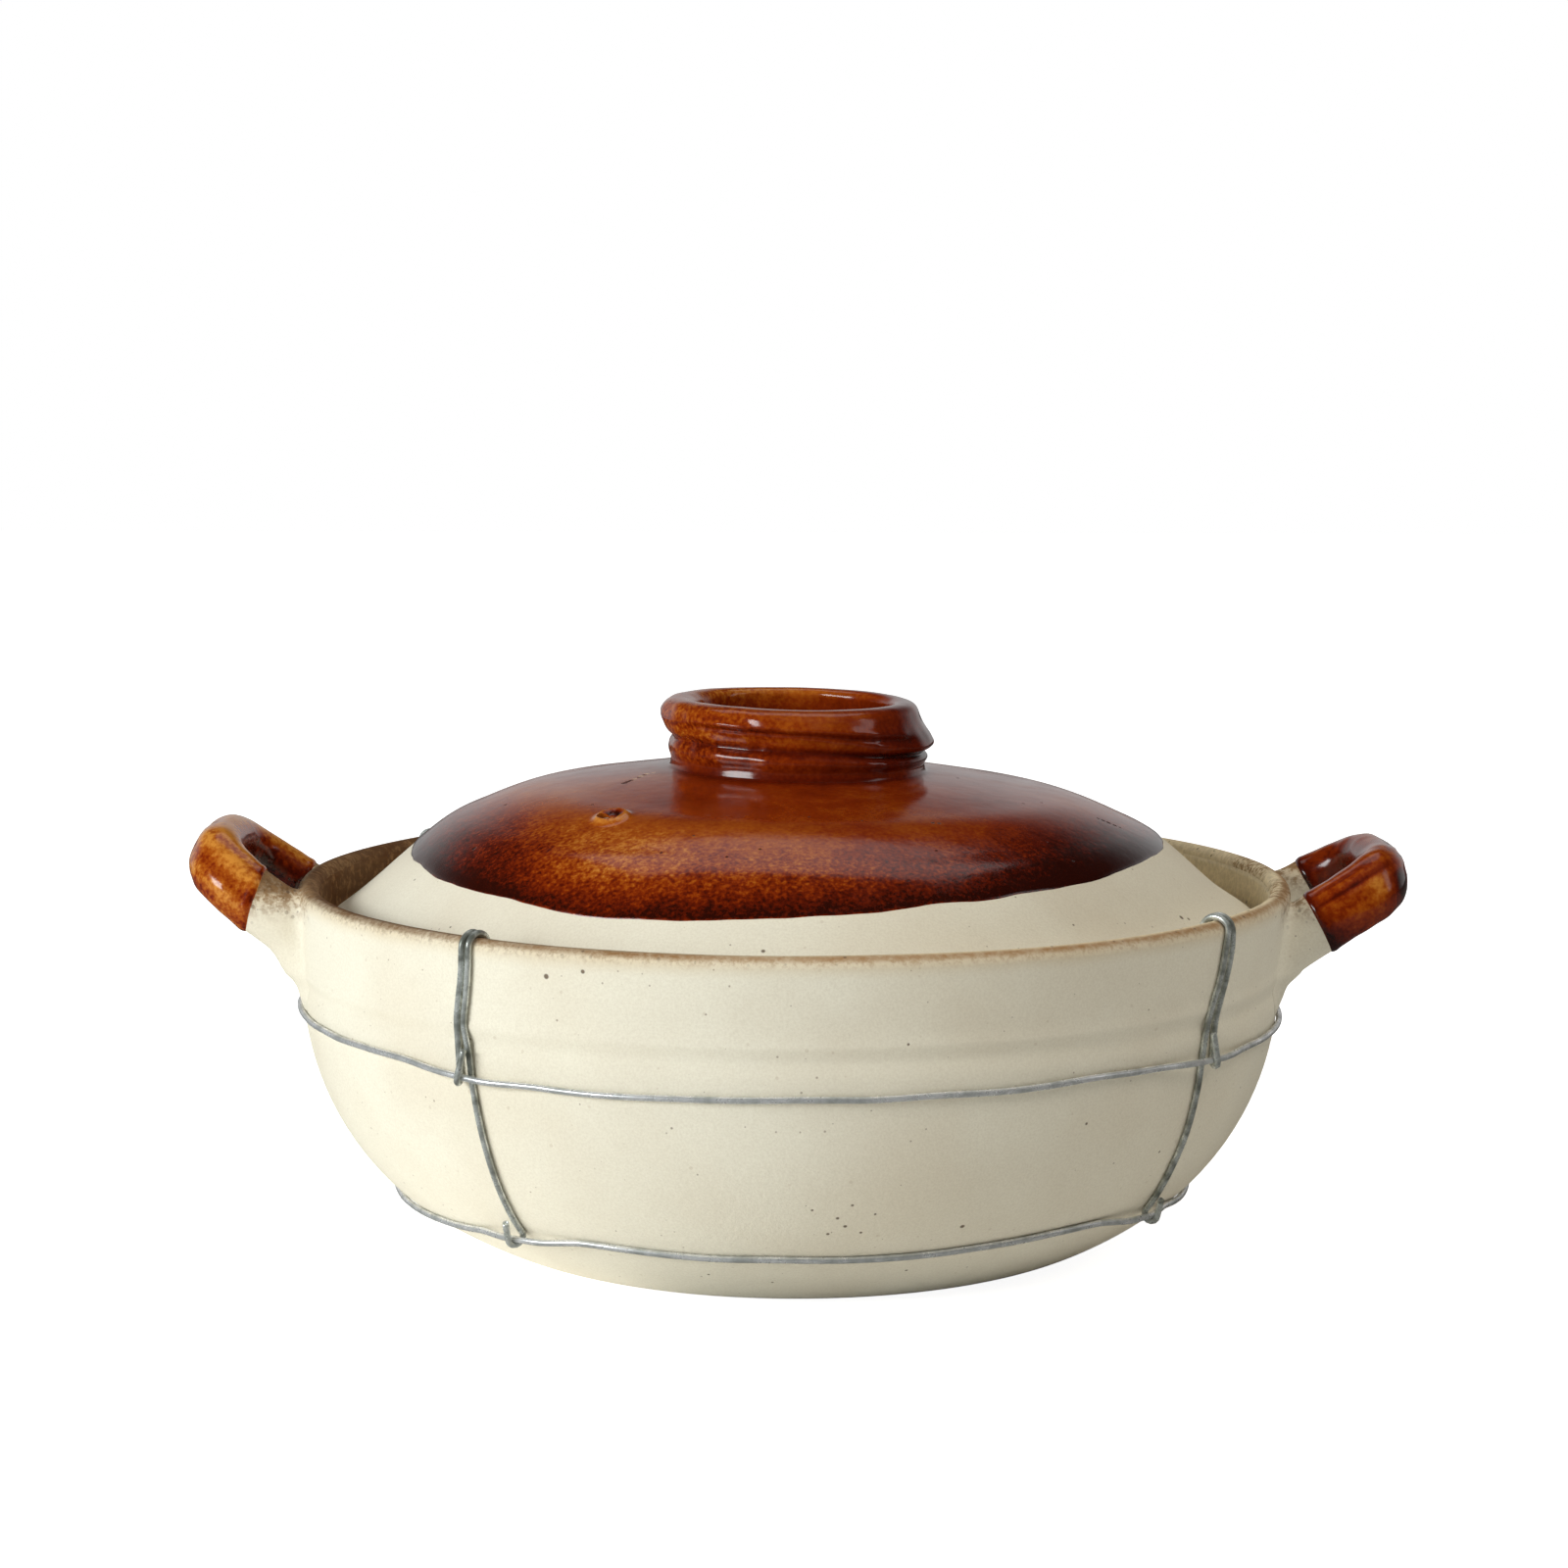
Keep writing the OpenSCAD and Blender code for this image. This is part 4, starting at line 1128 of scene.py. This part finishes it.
# hook and long are the strands from the lip down, as (height, azimuth); the other values are azimuths
STAYS = {
    "front_left": dict(
        hook=[(86, -36.9), (78.5, -37.2), (70, -37.8), (64, -37.8)], hook_az=-36.9, tail_az=-36.3,
        long=[(86, -36), (76, -36.4), (69, -36.9), (65.5, -36.7), (61.5, -36.3), (56.5, -36.2),
              (47, -36), (38, -36), (30, -36.2), (23, -36.5)],
        low_az=-36.7, low_hook_az=-38, low_tail_az=-36.9),
    "front_right": dict(
        hook=[(86, 54.9), (81.5, 55.2), (76, 54.9), (70.5, 54.2), (65, 53.4)], hook_az=52, tail_az=51.7,
        long=[(86, 54), (76, 53.6), (69, 52.5), (64, 51.7), (57, 51.2), (49.5, 51.3), (40, 51.6),
              (31, 52), (24, 52.9)],
        low_az=53.6, low_hook_az=54.2, low_tail_az=52.4),
    "back_right": dict(
        hook=[(86, 142.9), (76, 142.6), (64, 142.2)], hook_az=142, tail_az=142.7,
        long=[(86, 143.8), (76, 143.7), (66, 143.6), (56.5, 144.3), (46, 144.2), (34, 143.9),
              (23, 143.6)],
        low_az=143.4, low_hook_az=141.8, low_tail_az=142.2),
    "back_left": dict(
        hook=[(86, -125.8), (76, -125.6), (64, -125.1)], hook_az=-125, tail_az=-125.8,
        long=[(86, -126.7), (76, -126.8), (66, -127), (56.5, -127.6), (46, -127.4), (34, -127),
              (23, -126.7)],
        low_az=-126.5, low_hook_az=-124.9, low_tail_az=-125.4)}
# Azimuth and height of points on each hoop
UPPER_HOOP = [(-165, 56.4), (-150, 56.6), (-130, 57.2), (-115, 57.6), (-90, 58.2), (-70, 58.5), (-50, 58.4),
              (-40, 57.6), (-25, 56.3), (-10, 56.6), (10, 57), (25, 57.2), (38, 57.7), (50, 57.3), (60, 56.5),
              (80, 56.2), (110, 56), (140, 56.6), (165, 56.2), (178, 56.3)]
LOWER_HOOP = [(-165, 16), (-140, 15.4), (-115, 14.8), (-90, 14.4), (-60, 14.9), (-49, 16), (-38, 18.4),
              (-30, 18.6), (-16, 17.8), (-3, 17.4), (10, 17.4), (23, 18.2), (37, 19.7), (50, 20), (60, 18.2),
              (75, 15.8), (90, 15.2), (120, 15.6), (145, 16.2), (165, 16.4), (178, 16.2)]


def off_wall(azimuth, z, distance, up=0.0):
    """Points at a distance from the wall, and moved by up along it."""
    z = np.asarray(z, float)
    slope = slope_of(wall_r, z, 0.05)
    length = np.sqrt(1 + slope**2)
    distance, up = np.asarray(distance, float), np.asarray(up, float)
    r = wall_r(z) + distance / length + up * slope / length
    return around(r, azimuth, z - distance * slope / length + up / length)


def hook_points(azimuth, hook_az, tail_az, z):
    """Hook from behind the hoop, under it and up its front to the end of the tail."""
    turns = np.linspace(0, 180, 10)
    shift = azimuth + (hook_az - azimuth) * turns / 180
    a = np.radians(turns)
    bend = off_wall(shift, z, OVER_WIRE - HOOK_REACH * np.cos(a), -HOOK_REACH * np.sin(a))
    lengths = np.linspace(0.25, 1, 4)
    close = ON_WALL + 2 * WIRE_R + HOOP_GAP
    tail = off_wall(hook_az + (tail_az - hook_az) * lengths, z,
                    OVER_WIRE + HOOK_REACH + (close - OVER_WIRE - HOOK_REACH) * lengths, TAIL_L * lengths)
    return np.vstack([bend, tail])


def strand_points(table):
    z, azimuth = np.array(table).T
    return off_wall(azimuth, z, ON_WALL)


def lip_points(azimuth):
    """Strand over the lip, from the outside in."""
    a = np.radians(np.linspace(15, 180, 9))
    r = LIP_R + WIRE_R + np.linspace(0.12, COAT_T + 0.1, 9)
    return around(RIM_R - LIP_R + r * np.cos(a), azimuth, LIP_Z + r * np.sin(a))


def hairpin_points(start_az, end_az):
    """Closed end of the stay inside the rim."""
    a = np.radians(np.linspace(0, 180, 9))
    z = HAIRPIN_Z - HAIRPIN_R * np.sin(a)
    azimuth = (start_az + end_az) / 2 + (end_az - start_az) / 2 * -np.cos(a)
    inner_r = SEAT_WALL_R + (RIM_R - WALL - SEAT_WALL_R) * (z - SEAT_Z) / (LIP_Z - SEAT_Z)
    return around(inner_r - COAT_T - 0.1 - WIRE_R, azimuth, z)


def stay_path(stay):
    """One bent wire: hook, up and over the rim, the closed end inside, back over and down to the low hook."""
    hook_top, long_top = stay["hook"][0][1], stay["long"][0][1]
    bend = (hook_top + long_top) / 2
    pinch = math.degrees(HAIRPIN_R / STRAND_R) * (1 if hook_top > bend else -1)
    up = hook_points(stay["hook"][-1][1], stay["hook_az"], stay["tail_az"],
                     on_curve(UPPER_HOOP, HOOP_STEPS, stay["hook_az"]))[::-1]
    down = hook_points(stay["low_az"], stay["low_hook_az"], stay["low_tail_az"],
                       on_curve(LOWER_HOOP, HOOP_STEPS, stay["low_az"]))
    return np.vstack([
        up, strand_points(stay["hook"][::-1]), lip_points(hook_top)[1:],
        hairpin_points(bend + pinch, bend - pinch), lip_points(long_top)[::-1][:-1],
        strand_points(stay["long"]), down])


def hoop_path(table, seed):
    """One hoop: round the wall, lifted over each stay, its two ends twisted together at the back."""
    skip = math.degrees(TWIST_START / wall_r(table[0][1]))
    azimuths = np.arange(TWIST_AZ + skip, TWIST_AZ + 360 - skip, 1.0)
    z = on_curve(table, HOOP_STEPS, within_half_turn(azimuths))
    lift = np.zeros(len(azimuths))
    for stay in STAYS.values():
        off = np.abs(within_half_turn(azimuths - (stay["long"][5][1] + stay["hook_az"]) / 2))
        lift = np.maximum(lift, 1 - ease(off, *LIFT_AZ))
    kinks = 0.16 * ripple(off_wall(azimuths, z, 0.0), 22, seed)
    looseness = 0.05 * (1 + ripple(off_wall(azimuths, z, lift), 30, seed + 1))
    line = off_wall(azimuths, z + kinks, ON_WALL + (OVER_WIRE - ON_WALL) * lift + looseness)

    def twist(start):
        lengths = np.linspace(TWIST_START, TWIST_L, 30)
        turn = np.radians(start + 360 * (lengths - TWIST_START) / TWIST_PITCH)
        r = WIRE_R + HOOP_GAP / 2
        aside = np.degrees(r * np.sin(turn) / wall_r(z[0] - TWIST_L / 2))
        return off_wall(TWIST_AZ + aside, z[0], WIRE_GAP + WIRE_R * 2 + r * np.cos(turn), -lengths)

    return np.vstack([twist(90)[::-1], line, twist(270)])


def add_wire(name, path, first, material, node):
    points, faces = swept(body_drift(path), WIRE_R, WIRE_SIDES, first)
    add_piece(name, points, faces, material, "pot", [node])


for name, stay in STAYS.items():
    path = softened(resampled(catmull_rom(stay_path(stay), 5), WIRE_STEP * 0.8), 0.9)
    across = unit(np.cross(path[1] - path[0], [0.3, 0.2, 0.9]))
    add_wire(name + "_wire", path, across, stay_zinc, name + "_stay")
for name, table, seed in (("upper", UPPER_HOOP, 71), ("lower", LOWER_HOOP, 83)):
    path = softened(resampled(hoop_path(table, seed), WIRE_STEP), 0.8)
    add_wire(name + "_hoop_wire", path, [0.0, 0.0, 1.0], hoop_zinc_painted_lit, name + "_hoop")


# The stage, the light and the camera

FLOOR_HALF = 3000.0
FLOOR_GLOW = (0.92, 1.0)
FLOOR_GLOW_R = (90.0, 330.0)
FLOOR_PAINTED_DARK_IN_REFLECTIONS = (0.16, 0.16, 0.16)
BOUNCE_POINT = (-82.0, -66.0, 0.0)
BOUNCE_R = (20.0, 70.0)
BOUNCE = 0.5
WHITE = (1.0, 1.0, 1.0)
# Azimuth, elevation, distance, width and height in metres, watts, colour, and whether reflections show it
SOFTBOXES = {
    "key_softbox": (-56, 12, 1.6, 1.3, 0.7, 11.9, (0.96, 0.99, 1), False),
    "glint_softbox": (-56, 20, 1.6, 0.72, 0.5, 12.5, (0.94, 0.985, 1), True),
    "fill_softbox": (55, 60, 1.4, 1.2, 1, 9.9, (1, 0.95, 0.86), False),
    "side_softbox": (80, 28, 1.5, 0.3, 0.7, 0.8, (0.97, 0.98, 1), True),
    "top_softbox": (180, 64, 1.5, 1.2, 0.6, 1.7, WHITE, True)}
LIGHT_TARGET = Vector((0, 0, 0.06))
CAMERA_PLACE = Vector((0.0, -0.9, 0.2222))
CAMERA_PITCH = math.radians(7.10)
CAMERA_YAW = math.radians(-0.16)
CAMERA_ROLL = math.radians(0.141)
CAMERA_SENSOR = 36
CAMERA_LENS = 3812 / 1600 * CAMERA_SENSOR


def floor_material(name):
    """White table that glows into the white of the backdrop, and under the left of the bowl; reflections show
    it painted dark grey.
    """
    material, n = new_material(name, 0.9, 0.1)
    colour = n.blend(n.patches(300, 0.3, 0.7), (0.90, 0.90, 0.895), (0.88, 0.88, 0.875))
    # Painted dark reflection: glossy rays see the floor dark grey.
    colour = n.blend(n.ray("Glossy"), colour, FLOOR_PAINTED_DARK_IN_REFLECTIONS)
    glow = n.times(n.over(n.away_from_axis(), *FLOOR_GLOW_R, *FLOOR_GLOW), n.ray("Camera"))
    bounce = n.times(n.over(n.away_from(BOUNCE_POINT), *BOUNCE_R, BOUNCE, 0.0), n.ray("Diffuse"))
    n.show({"Base Color": colour, "Emission Color": (*WHITE, 1.0), "Emission Strength": n.plus(glow, bounce)})
    return material


def add_softbox(name, azimuth, elevation, distance, width, height, watts, colour, reflected):
    """Rectangular lamp, aimed at the middle of the pot."""
    lamp = bpy.data.lights.new(name, "AREA")
    lamp.shape = "RECTANGLE"
    lamp.size, lamp.size_y = width, height
    lamp.energy = watts
    lamp.color = colour
    made = bpy.data.objects.new(name, lamp)
    a, e = math.radians(azimuth), math.radians(elevation)
    way = Vector((math.sin(a) * math.cos(e), -math.cos(a) * math.cos(e), math.sin(e)))
    made.location = LIGHT_TARGET + distance * way
    made.rotation_euler = (LIGHT_TARGET - made.location).to_track_quat("-Z", "Y").to_euler()
    made.visible_glossy = reflected
    bpy.context.scene.collection.objects.link(made)


def build_world():
    """A pale studio: white backdrop low at the back, dimmer walls and ceiling."""
    world = bpy.data.worlds.new("studio")
    world.use_nodes = True
    n = Nodes(world.node_tree, "Background", "Generated")
    behind = n.remap(n.axis("Y"), 0.35, 0.75, smooth=True)
    low = n.remap(n.axis("Z"), 0.16, 0.55, 1.0, 0.0, smooth=True)
    lit = n.remap(n.times(low, behind), 0.0, 1.0, 0.012, 0.52)
    n.show({"Strength": n.larger(lit, n.ray("Camera")), "Color": (*WHITE, 1.0)})
    bpy.context.scene.world = world


def add_camera():
    """The camera, fitted to the photograph's rim, hoops and knob."""
    data = bpy.data.cameras.new("camera")
    data.sensor_width = CAMERA_SENSOR
    data.lens = CAMERA_LENS
    data.clip_start, data.clip_end = 0.05, 20
    camera = bpy.data.objects.new("camera", data)
    camera.matrix_world = (
        Matrix.Translation(CAMERA_PLACE) @ Matrix.Rotation(-CAMERA_YAW, 4, "Z")
        @ Matrix.Rotation(math.pi / 2 - CAMERA_PITCH, 4, "X") @ Matrix.Rotation(CAMERA_ROLL, 4, "Z"))
    bpy.context.scene.collection.objects.link(camera)
    bpy.context.scene.camera = camera


corners = [(x * FLOOR_HALF, y * FLOOR_HALF, 0.0) for x, y in ((-1, -1), (1, -1), (1, 1), (-1, 1))]
floor = new_object("floor", corners, [(0, 1, 2, 3)])
floor.data.materials.append(floor_material("floor_white"))
for name, settings in SOFTBOXES.items():
    add_softbox(name, *settings)
build_world()
add_camera()
bpy.context.scene.view_settings.view_transform = "Standard"
